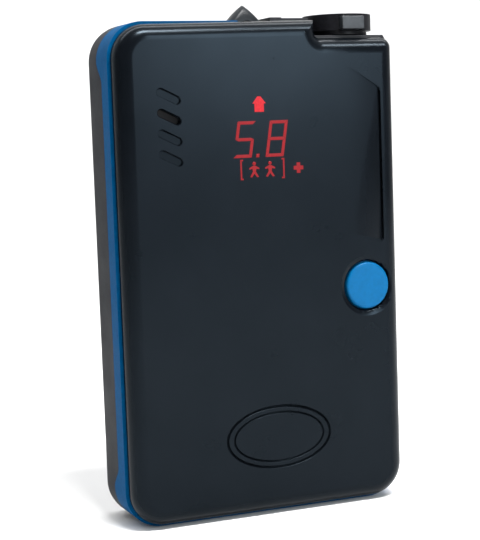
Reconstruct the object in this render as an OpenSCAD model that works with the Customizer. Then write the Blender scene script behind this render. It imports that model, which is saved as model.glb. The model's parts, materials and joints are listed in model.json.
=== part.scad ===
// Avalanche transceiver: a two-shell case with a coloured middle band, a rotary switch with a lock
// button, an option button, a lanyard eye, three receiving aerials and three cells behind a door.
// X runs across the case, Y from front to back and Z up its height. All sizes are in millimetres.

/* [Case] */
// Width of the case across the coloured band
case_w = 70; // [60:1:84]
// Height of the case, without the lanyard eye and the switch
case_h = 114; // [110:1:137]
// Thickness of the case from front to back
case_d = 24; // [24:0.5:29]
// Corner radius of the case seen from the front
corner_r = 8.5; // [7:0.5:11]
// Wall of the front shell
wall = 1.8; // [1.5:0.1:2.2]
// Wall of the rear shell
rear_wall = 2.2; // [1.8:0.1:2.6]
// How far the front shell's sides lie inside the coloured band
shell_step = 0.7; // [0.3:0.1:1]
// Radius of the front shell's front edge
front_edge_r = 3.8; // [2:0.1:4]
// Radius of the rear shell's back edge
rear_edge_r = 6.5; // [3:0.5:7]
// Depth of the front shell from the front face to its rim
front_depth = 4.3; // [4.2:0.1:5]
// Open seam between the front shell and the band
seam = 0.3; // [0.2:0.05:0.5]

/* [Coloured band] */
// Depth of the band along the straight sides
band_depth = 4.7; // [4:0.1:5.5]
// Thickness of the band
band_wall = 2.6; // [2.2:0.1:3]
// How far the band's wings reach back over the rear shell at the corners
wing_reach = 3.3; // [2:0.1:6]
// Thickness of the wings
wing_wall = 1; // [0.6:0.1:1.4]
// Length of the curve that leads into a wing
wing_run = 5; // [3:1:15]

/* [Switch] */
// Radius of the switch knob
knob_r = 8.1; // [7.5:0.1:8.5]
// Thickness of the knob's disc
knob_t = 3.8; // [3.5:0.1:4.5]
// Distance of the knob's axis from the side of the case
knob_inset = 10; // [10:0.5:12]
// Depth of the notch that frees the knob, measured from the case's top
notch_drop = 3.5; // [3:0.1:4]
// Distance of the notch's wall from the knob's axis
notch_reach = 9.8; // [9.7:0.1:12]
// Radius of the knob's shaft
shaft_r = 2.4; // [2:0.1:2.8]
// Width of the lock button
lock_w = 5.8; // [5:0.1:7]
// Travel of the lock button
lock_travel = 1.2; // [0.8:0.1:1.4]

/* [Option button] */
// Radius of the option button's cap
cap_r = 5.55; // [4.5:0.05:6.7]
// Height of the option button's axis
cap_z = 51.8; // [40:0.2:60]
// Travel of the option button
cap_travel = 0.6; // [0.4:0.1:0.6]

/* [Lanyard eye] */
// Middle of the lanyard eye, from the middle of the case
eye_x = 0.9; // [-2:0.1:1]
// Radius of the eye's hole
eye_r = 2; // [1.5:0.1:2.2]
// Half the width of the eye's plate
eye_half_w = 4.3; // [4:0.1:4.6]
// Thickness of the eye's plate
eye_t = 5; // [3:0.5:6]
// Height of the eye's tip above the case's top
eye_rise = 4; // [3:0.1:5]

/* [Cells] */
// Radius of a cell
cell_r = 5.25; // [5:0.05:5.5]
// Length of a cell with its terminal
cell_len = 44.5; // [40:0.5:46]
// Thickness of the battery door
door_t = 1.8; // [1.6:0.1:2.2]
// Clearance around the battery door
door_gap = 0.2; // [0.1:0.05:0.4]

/* [Fits] */
// Radial clearance of a shaft or stem that turns or slides
running_gap = 0.05; // [0.02:0.01:0.08]
// Clearance of a sliding button in its opening
button_gap = 0.2; // [0.1:0.05:0.3]

/* [Hidden] */
$fn = 48;
arc_steps = 8;
// How far a cut runs past what it cuts, and how far two parts of one solid lap
over = 0.5;
lap = 0.1;

front_y = -case_d / 2;
back_y = case_d / 2;
split_y = front_y + front_depth;
band_y = split_y + seam;
rear_y = band_y + band_depth;
front_in_y = front_y + wall;
inner_edge_r = 0.4;
cavity_r = 3;
back_in_y = back_y - rear_wall;
gasket_margin = 0.4;

// Notch at the top right, and the deck that stands in it
knob_x = case_w / 2 - knob_inset;
notch_x = knob_x - notch_reach;
notch_z = case_h - notch_drop;
deck_t = 3.5;
deck_skirt = 3;
deck_floor_z = notch_z - deck_t;
deck_side_z = deck_floor_z - deck_skirt;
deck_back_y = back_in_y;
deck_rise = 0.7;
deck_half_y = 5;
step_w = 3;
step_rise = 0.2;

// Pocket in the deck that the lanyard eye stands in
pocket_gap = 0.2;
pocket_x0 = eye_x - eye_half_w - pocket_gap;
pocket_x1 = eye_x + eye_half_w + pocket_gap;
pocket_z = case_h - 4.4;
pocket_wall = 3;
eye_sill = 0.7;
eye_z = pocket_z + eye_sill + eye_r;
eye_shoulder_z = case_h + 0.1;
tip_r = 1;
tip_flank = 42;
tenon_w = 4;
tenon_t = 3;

// Switch knob
skirt_inset = 1;
skirt_r = knob_r - skirt_inset;
skirt_t = 1;
skirt_z = notch_z + 0.2;
knob_z = skirt_z + skirt_t;
knob_top_z = knob_z + knob_t;
index_w = 1;
index_len = 6;
index_back = 1.5;
index_depth = 0.3;
lock_roof = 0.5;
lock_proud = 0.9;
lock_front_r = knob_r + lock_proud;
lock_len = 3.7;
lock_flange = 0.6;
lock_gap = 0.1;
lock_back_r = lock_front_r - lock_len;
spring_solid = 0.6;
lock_slot_r = lock_back_r - lock_travel - spring_solid;
lock_bore = 1.4;
lock_spring_r = 1.2;
lock_spring_t = 0.35;
lock_spring_gap = 0.15;
clip_t = 0.8;
clip_groove = 0.6;
clip_w = 1.6;
washer_t = 0.3;
washer_w = 1.4;
washer_gap = 0.2;
clip_z = deck_floor_z - washer_t - clip_t;
shaft_end = 1.4;
shaft_z = clip_z - shaft_end;
magnet_r = 1.2;
magnet_t = 1.6;
oring_z = deck_floor_z + 1.2;
oring_t = 1.1;
oring_depth = 0.7;
sensor_gap = 0.4;
sensor_t = 0.6;
switch_board_t = 1;
switch_board_z = shaft_z - sensor_gap - sensor_t - switch_board_t;
switch_board_half_y = 4;
sensor_w = 3;
leg_x = 5.6;
leg_r = 1.1;
leg_margin = 1.4;

// Option button, its seal and the switch under it
bezel_r = cap_r + 0.75;
bezel_depth = 0.8;
flange_r = cap_r + 0.65;
flange_t = 0.6;
stem_r = 1.6;
stem_t = 1;
seal_r = flange_r + 0.7;
seal_rim = 0.5;
seal_t = 0.5;
seal_side_gap = 0.1;
cap_x = case_w / 2 - shell_step - wall - seal_side_gap - seal_r;
seal_y = front_in_y + flange_t + stem_t;
nub_y = seal_y + seal_t;
nub_r = 1.2;
nub_t = 0.4;
tact_w = 6;
tact_room = 0.5;
tact_y = nub_y + nub_t + tact_room;
plunger_r = 1.4;
plunger_stop = 0.05;

// Boards
board_t = 1.2;
board_y = split_y + 1.9;
board_back_y = board_y + board_t;
board_inset = 4;
board_corner_gap = 0.19;
board_top = case_h - 11;
board_corner_r = corner_r - band_wall - board_corner_gap;
board_base = max(5, corner_r - sqrt(pow(board_corner_r, 2) - pow(corner_r - board_inset, 2)));
board_hole_gap = 0.3;
// Lower left corner, width, height and thickness of each chip, with Z measured down from the top
CHIPS = [[-14, 26, 9, 9, 1.4], [12, 24, 6, 6, 1.2], [9, 45, 5, 4, 1.2], [-10, 46, 8, 5, 1.5],
         [19, 60, 5, 8, 1.8]];

// Loudspeaker
speaker_r = 9.8;
speaker_x = -(case_w / 2 - 12.8);
speaker_z = case_h - 23.6;
membrane_t = 0.3;
speaker_y = front_in_y + membrane_t;
speaker_t = 3;
speaker_wall = 0.8;
cone_gap = 0.6;
cone_wall = 0.3;
cone_small_r = 3;
magnet_cup_r = 5;
slot_pitch = 4.55;
slot_len = 6.8;
slot_w = 1.7;
slot_tilt = -26;
slot_recess = 0.7;

// Display
display_x = 0.8;
display_z = case_h - 26.5;
display_w = 20;
display_h = 23;
display_skin = 0.7;
mask_t = 0.3;
light_t = 0.3;
mask_y = front_y + display_skin;
light_y = mask_y + mask_t;
display_y = light_y + light_t;
module_gap = 0.3;
digit_h = 8.2;
digit_w = 4.2;
digit_bar = 1;
digit_slant = 9;
digit_z = case_h - 31;
digit_pitch = 7.9;
digit_gap = 0.15;
digit_x = display_x - 0.3;
point_x = display_x - 2.4;
arrow_x = display_x - 1.6;
arrow_z = digit_z + digit_h + 3;
arrow_half = 1.7;
arrow_head_z = 1.8;
arrow_stem = 2.5;
icon_z = case_h - 35.7;
figure_h = 3.4;
figure_places = [-3.2, 0.7];
bracket_places = [-6.4, 3.9];
bracket_w = 0.45;
bracket_h = 4;
dash_x = 7.5;
dash_z = 1.8;
dash_w = 2.2;
dash_t = 0.5;

// Battery compartment, its door and its screw
cell_pitch = 2 * cell_r + 0.4;
terminal_len = 0.8;
terminal_r = 1.9;
plate_t = 0.4;
plate_half = 3.8;
spring_len = 4.1;
spring_base_r = 3.6;
spring_tip_r = 2.6;
spring_t = 0.6;
tray_side_gap = 0.3;
tray_floor_t = 1;
cell_floor_gap = 0.1;
cell_seal_gap = 0.4;
tray_wall = 1.2;
tray_in_w = 2 * cell_pitch + 2 * cell_r + 2 * tray_side_gap;
tray_in_h = 2 * plate_t + spring_len + cell_len;
tray_w = tray_in_w + 2 * tray_wall;
tray_h = tray_in_h + 2 * tray_wall;
door_w = tray_w + 5.6;
door_z = 7;
ledge = 2.6;
tray_z = door_z + ledge;
screw_end = 10.5;
door_h = ledge + tray_h + screw_end;
door_r = 4;
door_y = back_y - door_t;
seal_ring_t = 0.5;
seal_ring_w = 1;
tray_y = door_y - seal_ring_t;
cell_y = tray_y - cell_seal_gap - cell_r;
tray_in_y = cell_y - cell_r - cell_floor_gap;
tray_floor_y = tray_in_y - tray_floor_t;
pad_margin = 2;
pad_half_h = 5;
pad_gap = 0.2;
ledge_t = 2;
frame_margin = 2.2;
tab_x = 11;
tab_w = 6;
tab_t = 1.3;
tab_drop = 1.8;
tab_lap = 1.5;
tab_room = 0.4;
door_screw_inset = 5.5;
door_screw_z = door_z + door_h - door_screw_inset;
door_screw_r = 1.5;
door_head_r = 4;
door_head_t = 1.1;
door_head_gap = 0.2;
coin_slot_half = 0.7;
coin_slot_depth = 0.7;
door_bore_r = door_screw_r + 0.4;
insert_r = 2.8;
insert_t = 3;
insert_y = door_y - ledge_t;
insert_boss_r = insert_r + 1.4;
insert_boss_floor = 0.5;
door_screw_end_y = insert_y - insert_t + 0.2;
door_clip_r = 2.7;
door_clip_t = 0.4;
door_clip_gap = 0.4;
clip_recess_r = door_clip_r + door_clip_gap;
clip_recess_y = door_y - door_clip_t - door_clip_gap;

// Screw posts, on the flat part of the rear wall
post_r = 3.2;
post_inset = rear_wall + cavity_r + post_r + 0.3;
post_x = case_w / 2 - post_inset;
post_low_z = post_inset;
post_high_z = case_h - post_inset;
post_right_z = case_h - 19;
POSTS = [[-post_x, post_low_z], [post_x, post_low_z], [-post_x, post_high_z], [post_x, post_right_z]];
screw_r = 1.25;
screw_head_r = 2.4;
screw_head_t = 2;
screw_len = 16;
screw_seat_y = back_y - 4.5;
screw_clear = 0.2;
screw_tip_gap = 0.3;

// Aerials
long_x = -(case_w / 2 - 9);
long_r = 4.5;
long_z0 = post_low_z + post_r + 2.3;
long_z1 = post_high_z - post_r - 2.3;
aerial_y = 2.8;
cross_z = case_h - 34;
cross_r = 4;
cross_x0 = long_x + long_r + 7.5;
cross_x1 = case_w / 2 - 5;
cross_bare = 8;
coil_t = 0.5;
short_x = 2;
short_z = case_h - 18;
short_r = 6;
short_core_r = 3;
short_flange = 1;
short_len = 8;
short_coil_inset = 0.6;
seat_gap = 0.05;
cradle_t = 4;
cradle_end = 3;
cradle_side_gap = 2.7;
cradle_low_z = 26;
cradle_high_z = case_h - 26;

// Points on an arc, for outlines
function arc(x, y, r, from, to) =
  [for (i = [0:arc_steps]) [x + r * cos(from + (to - from) * i / arc_steps),
                            y + r * sin(from + (to - from) * i / arc_steps)]];

// Half-section of a plate with one rounded edge
function lip(r, d, f) = concat([[0, 0]], arc(r - f, f, f, -90, 0), [[r, d], [0, d]]);

// Section of a plate with two rounded edges
function bar(w, d, f) =
  concat(arc(w / 2 - f, f, f, -90, 0), [[w / 2, d], [-w / 2, d]], arc(-w / 2 + f, f, f, 180, 270));

// Smooth step from 0 to 1
function ease(t) = t * t * (3 - 2 * t);

// Puts an outline drawn in X and Z at depth y, growing towards the back
module facing(y) {
  translate([0, y, 0]) mirror([0, 1, 0]) rotate([90, 0, 0]) children();
}

// The same, growing towards the front
module backing(y) {
  translate([0, y, 0]) rotate([90, 0, 0]) children();
}

// A rounded plate of width w and height h whose edge round z = 0 has the radius f
module pad(w, h, d, r, f) {
  for (q = [[1, 1, 0], [-1, 1, 90], [-1, -1, 180], [1, -1, 270]])
    translate([q[0] * (w / 2 - r), q[1] * (h / 2 - r), 0]) rotate([0, 0, q[2]])
      rotate_extrude(angle = 90) polygon(lip(r, d, f));
  translate([0, h / 2 - r, 0]) rotate([90, 0, 0]) linear_extrude(h - 2 * r) polygon(bar(w, d, f));
  for (turn = [0, 180]) rotate([0, 0, turn]) translate([-(w / 2 - r), h / 2 - r, 0])
    rotate([90, 0, 90]) linear_extrude(w - 2 * r) polygon(lip(r, d, f));
}

module round_rect(w, h, r) {
  square([w - 2 * r, h], center = true);
  square([w, h - 2 * r], center = true);
  for (x = [-1, 1], y = [-1, 1]) translate([x * (w / 2 - r), y * (h / 2 - r)]) circle(r);
}

// The case's outline, moved inwards
module case_outline(inset) {
  translate([0, case_h / 2])
    round_rect(case_w - 2 * inset, case_h - 2 * inset, corner_r - inset);
}

// What the switch's notch takes away, moved outwards
module notch_outline(grow) {
  translate([notch_x - grow, notch_z - grow]) square([case_w, case_h]);
}

module case_pad(inset, d, f) {
  translate([0, case_h / 2, 0])
    pad(case_w - 2 * inset, case_h - 2 * inset, d, corner_r - inset, f);
}

// A cylinder along Y
module round_y(x, z, r, y0, y1) {
  translate([x, y0, z]) rotate([-90, 0, 0]) cylinder(h = y1 - y0, r = r);
}

// A block between two corners
module block(low, high) {
  translate(low) cube(high - low);
}

// ---- Case ----

// Everything left of the notch's wall, with a rounded front edge along that wall
module notch_wall_bar() {
  edge = concat([[-case_w, 0]], arc(notch_x - front_edge_r, front_edge_r, front_edge_r, -90, 0),
                [[notch_x, front_depth], [-case_w, front_depth]]);
  translate([0, case_h + over, 0]) rotate([90, 0, 0]) linear_extrude(case_h + 2 * over) polygon(edge);
}

// Everything below the notch's floor, with a rounded front edge along that floor
module notch_floor_bar() {
  edge = concat([[-over, 0]], arc(notch_z - front_edge_r, front_edge_r, front_edge_r, -90, 0),
                [[notch_z, front_depth], [-over, front_depth]]);
  translate([-case_w / 2 - over, 0, 0]) rotate([90, 0, 90]) linear_extrude(case_w + 2 * over)
    polygon(edge);
}

// One loudspeaker slot, number n counted from the middle of the four
module speaker_slot(n) {
  translate([speaker_x, speaker_z + n * slot_pitch]) rotate(slot_tilt)
    round_rect(slot_len, slot_w, slot_w / 2 - 0.01);
}

module front_shell() {
  color([0.12, 0.13, 0.15]) difference() {
    union() {
      difference() {
        facing(front_y) intersection() {
          case_pad(shell_step, front_depth, front_edge_r);
          union() {
            notch_wall_bar();
            notch_floor_bar();
          }
        }
        facing(front_in_y) difference() {
          case_pad(shell_step + wall, front_depth, inner_edge_r);
          translate([0, 0, -over]) linear_extrude(case_d) notch_outline(wall);
        }
      }
      for (p = POSTS) round_y(p[0], p[1], post_r, front_in_y - over, rear_y);
    }
    for (p = POSTS) round_y(p[0], p[1], screw_r, screw_seat_y - screw_len - screw_tip_gap, rear_y + over);
    for (n = [-1.5, -0.5, 1.5]) facing(front_y - over) linear_extrude(slot_recess + over)
      speaker_slot(n);
    facing(front_y - over) linear_extrude(wall + 2 * over) speaker_slot(0.5);
    round_y(cap_x, cap_z, bezel_r, front_y - over, front_y + bezel_depth);
    round_y(cap_x, cap_z, cap_r + button_gap, front_y - over, front_in_y + over);
    block([display_x - display_w / 2, mask_y, display_z - display_h / 2],
          [display_x + display_w / 2, front_in_y + over, display_z + display_h / 2]);
  }
}

module case_gasket() {
  color([0.25, 0.25, 0.27]) facing(split_y) linear_extrude(seam) difference() {
    difference() {
      case_outline(shell_step + gasket_margin);
      notch_outline(gasket_margin);
    }
    difference() {
      case_outline(shell_step + wall - lap);
      notch_outline(wall - lap);
    }
  }
}

// The curve along one side that leads into a corner's wing: depth over distance from the end
function wing_edge(size) =
  concat([for (i = [0:arc_steps]) [size - corner_r - wing_run * (1 - i / arc_steps),
                                   rear_y + wing_reach * ease(i / arc_steps)]],
         [[size + over, rear_y + wing_reach], [size + over, rear_y - 1],
          [size - corner_r - wing_run, rear_y - 1]]);

// The space of the wings at the left corners and the lower right one
module wing_space(inset, grow) {
  intersection() {
    facing(rear_y - 1) linear_extrude(wing_reach + 2) difference() {
      case_outline(-grow);
      case_outline(inset);
    }
    union() {
      translate([0, 0, -case_h]) linear_extrude(3 * case_h) polygon(wing_edge(case_w / 2));
      mirror([1, 0, 0]) translate([0, 0, -case_h]) linear_extrude(3 * case_h)
        polygon(wing_edge(case_w / 2));
    }
    union() {
      translate([0, 0, case_h / 2]) rotate([0, -90, 0])
        linear_extrude(case_w) polygon(wing_edge(case_h / 2));
      translate([case_w, 0, case_h / 2]) mirror([0, 0, 1]) rotate([0, -90, 0])
        linear_extrude(2 * case_w) polygon(wing_edge(case_h / 2));
    }
  }
}

// What the deck takes from the band and the rear shell
module deck_space() {
  block([pocket_x0, band_y - over, deck_side_z], [case_w, deck_back_y, case_h + over]);
}

module mid_frame() {
  color([0.06, 0.42, 0.68]) union() {
    difference() {
      facing(band_y) linear_extrude(band_depth) difference() {
        case_outline(0);
        case_outline(band_wall);
      }
      deck_space();
    }
    wing_space(wing_wall, 0);
  }
}

module rear_shell() {
  color([0.17, 0.18, 0.2]) difference() {
    union() {
      difference() {
        backing(back_y) case_pad(0, back_y - rear_y, rear_edge_r);
        backing(back_in_y) case_pad(rear_wall, case_d, cavity_r);
      }
      for (p = POSTS) round_y(p[0], p[1], post_r, rear_y, back_in_y + over);
      facing(insert_y) linear_extrude(ledge_t) translate([0, door_z + door_h / 2])
        round_rect(door_w + 2 * frame_margin, door_h + 2 * frame_margin, door_r + frame_margin);
      round_y(0, door_screw_z, insert_boss_r, insert_y - insert_t - insert_boss_floor, insert_y + over);
    }
    wing_space(wing_wall, over);
    deck_space();
    facing(deck_back_y - over) linear_extrude(case_d) notch_outline(0);
    block([pocket_x0, deck_back_y - over, pocket_z], [pocket_x1, back_y + over, case_h + over]);
    facing(door_y) linear_extrude(case_d) translate([0, door_z + door_h / 2])
      round_rect(door_w + 2 * door_gap, door_h + 2 * door_gap, door_r + door_gap);
    block([-tray_w / 2 - door_gap, insert_y - over, tray_z - door_gap],
          [tray_w / 2 + door_gap, back_y + over, tray_z + tray_h + door_gap]);
    for (side = [-1, 1])
      block([side * tab_x - tab_w / 2 - door_gap, insert_y - over, door_z - tab_drop - tab_room],
            [side * tab_x + tab_w / 2 + door_gap, door_y, tray_z]);
    round_y(0, door_screw_z, door_bore_r, insert_y - insert_t - 1, door_y + over);
    round_y(0, door_screw_z, insert_r, insert_y - insert_t, insert_y);
    round_y(0, door_screw_z, clip_recess_r, clip_recess_y, door_y + over);
    for (p = POSTS) {
      round_y(p[0], p[1], screw_r + screw_clear, rear_y - over, back_y + over);
      round_y(p[0], p[1], screw_head_r + screw_clear, screw_seat_y, back_y + over);
    }
  }
}

module top_deck() {
  color([0.1, 0.1, 0.11]) difference() {
    union() {
      intersection() {
        backing(back_y) case_pad(0, case_d, rear_edge_r);
        facing(band_y) linear_extrude(deck_back_y - band_y) {
          translate([pocket_x0, deck_floor_z]) square([notch_x - pocket_x0, case_h]);
          translate([pocket_x0, deck_floor_z]) square([case_w, notch_z - deck_floor_z]);
          translate([case_w / 2 - band_wall, deck_side_z])
            square([case_w, notch_z - deck_side_z]);
        }
      }
      facing(band_y) linear_extrude(back_in_y - cavity_r - band_y)
        translate([pocket_x0 - pocket_wall, deck_floor_z])
        square([pocket_wall + over, case_h - max(band_wall, rear_wall) - deck_floor_z]);
      block([pocket_x1, -deck_half_y, case_h - over], [notch_x, deck_half_y, case_h + deck_rise]);
      block([pocket_x1, -deck_half_y, case_h - over],
            [pocket_x1 + step_w, deck_half_y, case_h + deck_rise + step_rise]);
      for (side = [-1, 1]) translate([knob_x + side * leg_x, 0, switch_board_z + switch_board_t])
        cylinder(h = deck_floor_z + over - switch_board_z - switch_board_t, r = leg_r);
    }
    block([pocket_x0, band_y - over, pocket_z], [pocket_x1, case_d, case_h + 2 * over]);
    block([eye_x - tenon_w / 2, -tenon_t / 2, deck_floor_z - over],
          [eye_x + tenon_w / 2, tenon_t / 2, pocket_z + over]);
    translate([knob_x, 0, deck_floor_z - over])
      cylinder(h = notch_z - deck_floor_z + 2 * over, r = shaft_r + running_gap);
  }
}

// A triangular plate on a tenon, with a hole for the lanyard
module lanyard_eye() {
  tip_z = case_h + eye_rise - tip_r;
  plate = concat([[eye_x - eye_half_w, pocket_z], [eye_x + eye_half_w, pocket_z],
                  [eye_x + eye_half_w, eye_shoulder_z]],
                 arc(eye_x, tip_z, tip_r, 90 - tip_flank, 90 + tip_flank),
                 [[eye_x - eye_half_w, eye_shoulder_z]]);
  color([0.2, 0.21, 0.23]) difference() {
    union() {
      facing(-eye_t / 2) linear_extrude(eye_t) polygon(plate);
      block([eye_x - tenon_w / 2, -tenon_t / 2, deck_floor_z],
            [eye_x + tenon_w / 2, tenon_t / 2, pocket_z + lap]);
    }
    round_y(eye_x, eye_z, eye_r, -eye_t, eye_t);
  }
}

// ---- Loudspeaker ----

module speaker_mesh() {
  color([0.3, 0.3, 0.3]) round_y(speaker_x, speaker_z, speaker_r, front_in_y, speaker_y);
}

module speaker_frame() {
  color([0.45, 0.46, 0.48]) difference() {
    round_y(speaker_x, speaker_z, speaker_r, speaker_y, speaker_y + speaker_t);
    round_y(speaker_x, speaker_z, speaker_r - speaker_wall, speaker_y - over,
            speaker_y + speaker_t - speaker_wall);
  }
}

module speaker_cone() {
  cone_y = speaker_y + cone_gap;
  cone_t = speaker_t - speaker_wall - cone_gap;
  color([0.15, 0.15, 0.15]) difference() {
    translate([speaker_x, cone_y, speaker_z]) rotate([-90, 0, 0])
      cylinder(h = cone_t, r1 = speaker_r - speaker_wall, r2 = cone_small_r);
    translate([speaker_x, cone_y - cone_wall, speaker_z]) rotate([-90, 0, 0])
      cylinder(h = cone_t, r1 = speaker_r - speaker_wall, r2 = cone_small_r);
  }
}

module speaker_magnet() {
  color([0.6, 0.6, 0.62])
    round_y(speaker_x, speaker_z, magnet_cup_r, speaker_y + speaker_t, board_y);
}

// ---- Display ----

module display_mask() {
  color([0.2, 0.05, 0.05, 0.8])
    block([display_x - display_w / 2, mask_y, display_z - display_h / 2],
          [display_x + display_w / 2, light_y, display_z + display_h / 2]);
}

// A slanted seven-bar digit whose lower left corner is at x, with the bars that are on
module digit(x, on) {
  step = digit_h / 2;
  places = [[0, 2, 0], [1, 1, 1], [1, 0, 1], [0, 0, 0], [-1, 0, 1], [-1, 1, 1], [0, 1, 0]];
  multmatrix([[1, tan(digit_slant), 0, x], [0, 1, 0, digit_z], [0, 0, 1, 0], [0, 0, 0, 1]])
    for (i = [0:6]) if (on[i] == 1) {
      p = places[i];
      if (p[2] == 0)
        translate([digit_bar + digit_gap, p[1] * (digit_h - digit_bar) / 2])
          square([digit_w - 2 * digit_bar - 2 * digit_gap, digit_bar]);
      else
        translate([p[0] < 0 ? 0 : digit_w - digit_bar, p[1] * step + digit_gap])
          square([digit_bar, step - 2 * digit_gap]);
    }
}

// A standing figure: its head, trunk, two arms and two legs
module figure() {
  translate([0, figure_h]) circle(0.45);
  translate([-0.35, 1.2]) square([0.7, 1.6]);
  for (x = [-1.3, 0.5]) translate([x, 1.9]) square([0.8, 0.5]);
  for (x = [-0.9, 0.3]) translate([x, 0]) square([0.6, 1.1]);
}

module display_lights() {
  color([0.9, 0.1, 0.1]) facing(light_y) linear_extrude(light_t) {
    digit(digit_x - digit_pitch, [1, 0, 1, 1, 0, 1, 1]);
    digit(digit_x, [1, 1, 1, 1, 1, 1, 1]);
    translate([point_x, digit_z]) square([digit_bar, digit_bar]);
    translate([arrow_x, arrow_z]) {
      polygon([[-arrow_half, arrow_head_z], [0, 2 * arrow_head_z], [arrow_half, arrow_head_z]]);
      translate([-arrow_stem / 2, 0]) square([arrow_stem, arrow_head_z + lap]);
    }
    for (x = figure_places) translate([display_x + x, icon_z]) figure();
    for (x = bracket_places) translate([display_x + x, icon_z]) square([bracket_w, bracket_h]);
    translate([display_x + dash_x, icon_z + dash_z]) square([dash_w, dash_t], center = true);
  }
}

module display_module() {
  color([0.85, 0.85, 0.82])
    block([display_x - display_w / 2 + module_gap, display_y, display_z - display_h / 2 + module_gap],
          [display_x + display_w / 2 - module_gap, board_y, display_z + display_h / 2 - module_gap]);
}

// ---- Boards ----

module main_board() {
  color([0.05, 0.3, 0.15]) facing(board_y) linear_extrude(board_t) difference() {
    translate([-case_w / 2 + board_inset, board_base])
      square([case_w - 2 * board_inset, board_top - board_base]);
    for (p = POSTS) translate(p) circle(post_r + board_hole_gap);
  }
}

module board_chips() {
  color([0.1, 0.1, 0.1]) for (c = CHIPS)
    translate([c[0], board_back_y, case_h - c[1]]) cube([c[2], c[4], c[3]]);
}

module switch_board() {
  color([0.05, 0.3, 0.15])
    block([knob_x - leg_x - leg_margin, -switch_board_half_y, switch_board_z],
          [knob_x + leg_x + leg_margin, switch_board_half_y, switch_board_z + switch_board_t]);
}

module position_sensor() {
  color([0.1, 0.1, 0.1])
    translate([knob_x - sensor_w / 2, -sensor_w / 2, switch_board_z + switch_board_t])
      cube([sensor_w, sensor_w, sensor_t]);
}

// ---- Option button ----

module button_cap() {
  color([0, 0.5, 0.78]) {
    round_y(cap_x, cap_z, cap_r, front_y, front_in_y + lap);
    round_y(cap_x, cap_z, flange_r, front_in_y, front_in_y + flange_t);
    round_y(cap_x, cap_z, stem_r, front_in_y + flange_t - lap, seal_y);
  }
}

// A thin sheet with a raised rim in front and a small nub behind
module button_seal() {
  color([0.35, 0.36, 0.38]) {
    difference() {
      round_y(cap_x, cap_z, seal_r, front_in_y, nub_y);
      round_y(cap_x, cap_z, seal_r - seal_rim, front_in_y - over, seal_y);
    }
    round_y(cap_x, cap_z, nub_r, nub_y - lap, nub_y + nub_t);
  }
}

module button_plunger() {
  color([0.15, 0.15, 0.15])
    round_y(cap_x, cap_z, plunger_r, nub_y + nub_t, board_y - cap_travel - plunger_stop);
}

module tact_switch() {
  color([0.75, 0.76, 0.78]) difference() {
    block([cap_x - tact_w / 2, tact_y, cap_z - tact_w / 2],
          [cap_x + tact_w / 2, board_y, cap_z + tact_w / 2]);
    round_y(cap_x, cap_z, plunger_r + running_gap, tact_y - over, board_y + over);
  }
}

// ---- Switch ----

// The slot that the lock button slides in, with room for its flange behind
module lock_slot() {
  half = lock_w / 2 + lock_gap;
  step_r = lock_back_r + lock_flange;
  block([-half, -knob_r - over, knob_z], [half, -lock_slot_r, knob_top_z - lock_roof]);
  block([-half - lock_flange, -step_r, knob_z],
        [half + lock_flange, -lock_slot_r, knob_top_z - lock_roof]);
}

module switch_knob() {
  color([0.09, 0.09, 0.1]) translate([knob_x, 0, 0]) difference() {
    union() {
      translate([0, 0, knob_z]) cylinder(h = knob_t, r = knob_r);
      translate([0, 0, skirt_z]) cylinder(h = skirt_t + lap, r = skirt_r);
      translate([0, 0, shaft_z]) cylinder(h = skirt_z - shaft_z + lap, r = shaft_r);
    }
    lock_slot();
    translate([-index_w / 2, -index_back, knob_top_z - index_depth])
      cube([index_w, index_len, index_depth + over]);
    translate([0, 0, oring_z]) difference() {
      cylinder(h = oring_t, r = shaft_r + over);
      cylinder(h = oring_t, r = shaft_r - oring_depth);
    }
    translate([0, 0, clip_z]) difference() {
      cylinder(h = clip_t, r = shaft_r + over);
      cylinder(h = clip_t, r = shaft_r - clip_groove);
    }
    translate([0, 0, shaft_z - over]) cylinder(h = magnet_t + over, r = magnet_r);
  }
}

module knob_index() {
  color([0.9, 0.9, 0.9]) translate([knob_x - index_w / 2, -index_back, knob_top_z - index_depth])
    cube([index_w, index_len, index_depth]);
}

module knob_seal() {
  color([0.05, 0.05, 0.05]) translate([knob_x, 0, oring_z]) difference() {
    cylinder(h = oring_t, r = shaft_r + running_gap / 2);
    translate([0, 0, -over]) cylinder(h = oring_t + 2 * over, r = shaft_r - oring_depth);
  }
}

module knob_magnet() {
  color([0.7, 0.7, 0.72]) translate([knob_x, 0, shaft_z]) cylinder(h = magnet_t, r = magnet_r);
}

// An E-shaped clip, open on one side
module retaining_clip() {
  color([0.7, 0.71, 0.73]) translate([knob_x, 0, clip_z]) difference() {
    cylinder(h = clip_t, r = shaft_r + clip_w);
    translate([0, 0, -over]) cylinder(h = clip_t + 2 * over, r = shaft_r - clip_groove);
    translate([-shaft_r + clip_groove, 0, -over])
      cube([2 * (shaft_r - clip_groove), 2 * shaft_r, clip_t + 2 * over]);
  }
}

module wave_washer() {
  color([0.75, 0.76, 0.78]) translate([knob_x, 0, clip_z + clip_t]) difference() {
    cylinder(h = washer_t, r = shaft_r + washer_w);
    translate([0, 0, -over]) cylinder(h = washer_t + 2 * over, r = shaft_r + washer_gap);
  }
}

module lock_button() {
  half = lock_w / 2;
  low = knob_z + lock_gap;
  high = knob_top_z - lock_roof - lock_gap;
  color([0.36, 0.38, 0.4]) translate([knob_x, 0, 0]) difference() {
    union() {
      block([-half, -lock_front_r, low], [half, -lock_back_r, high]);
      block([-half - lock_flange, -lock_back_r - lock_flange, low],
            [half + lock_flange, -lock_back_r, high]);
    }
    round_y(0, (low + high) / 2, lock_spring_r + lock_spring_gap, -lock_back_r - lock_bore,
            -lock_back_r + over);
  }
}

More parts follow.
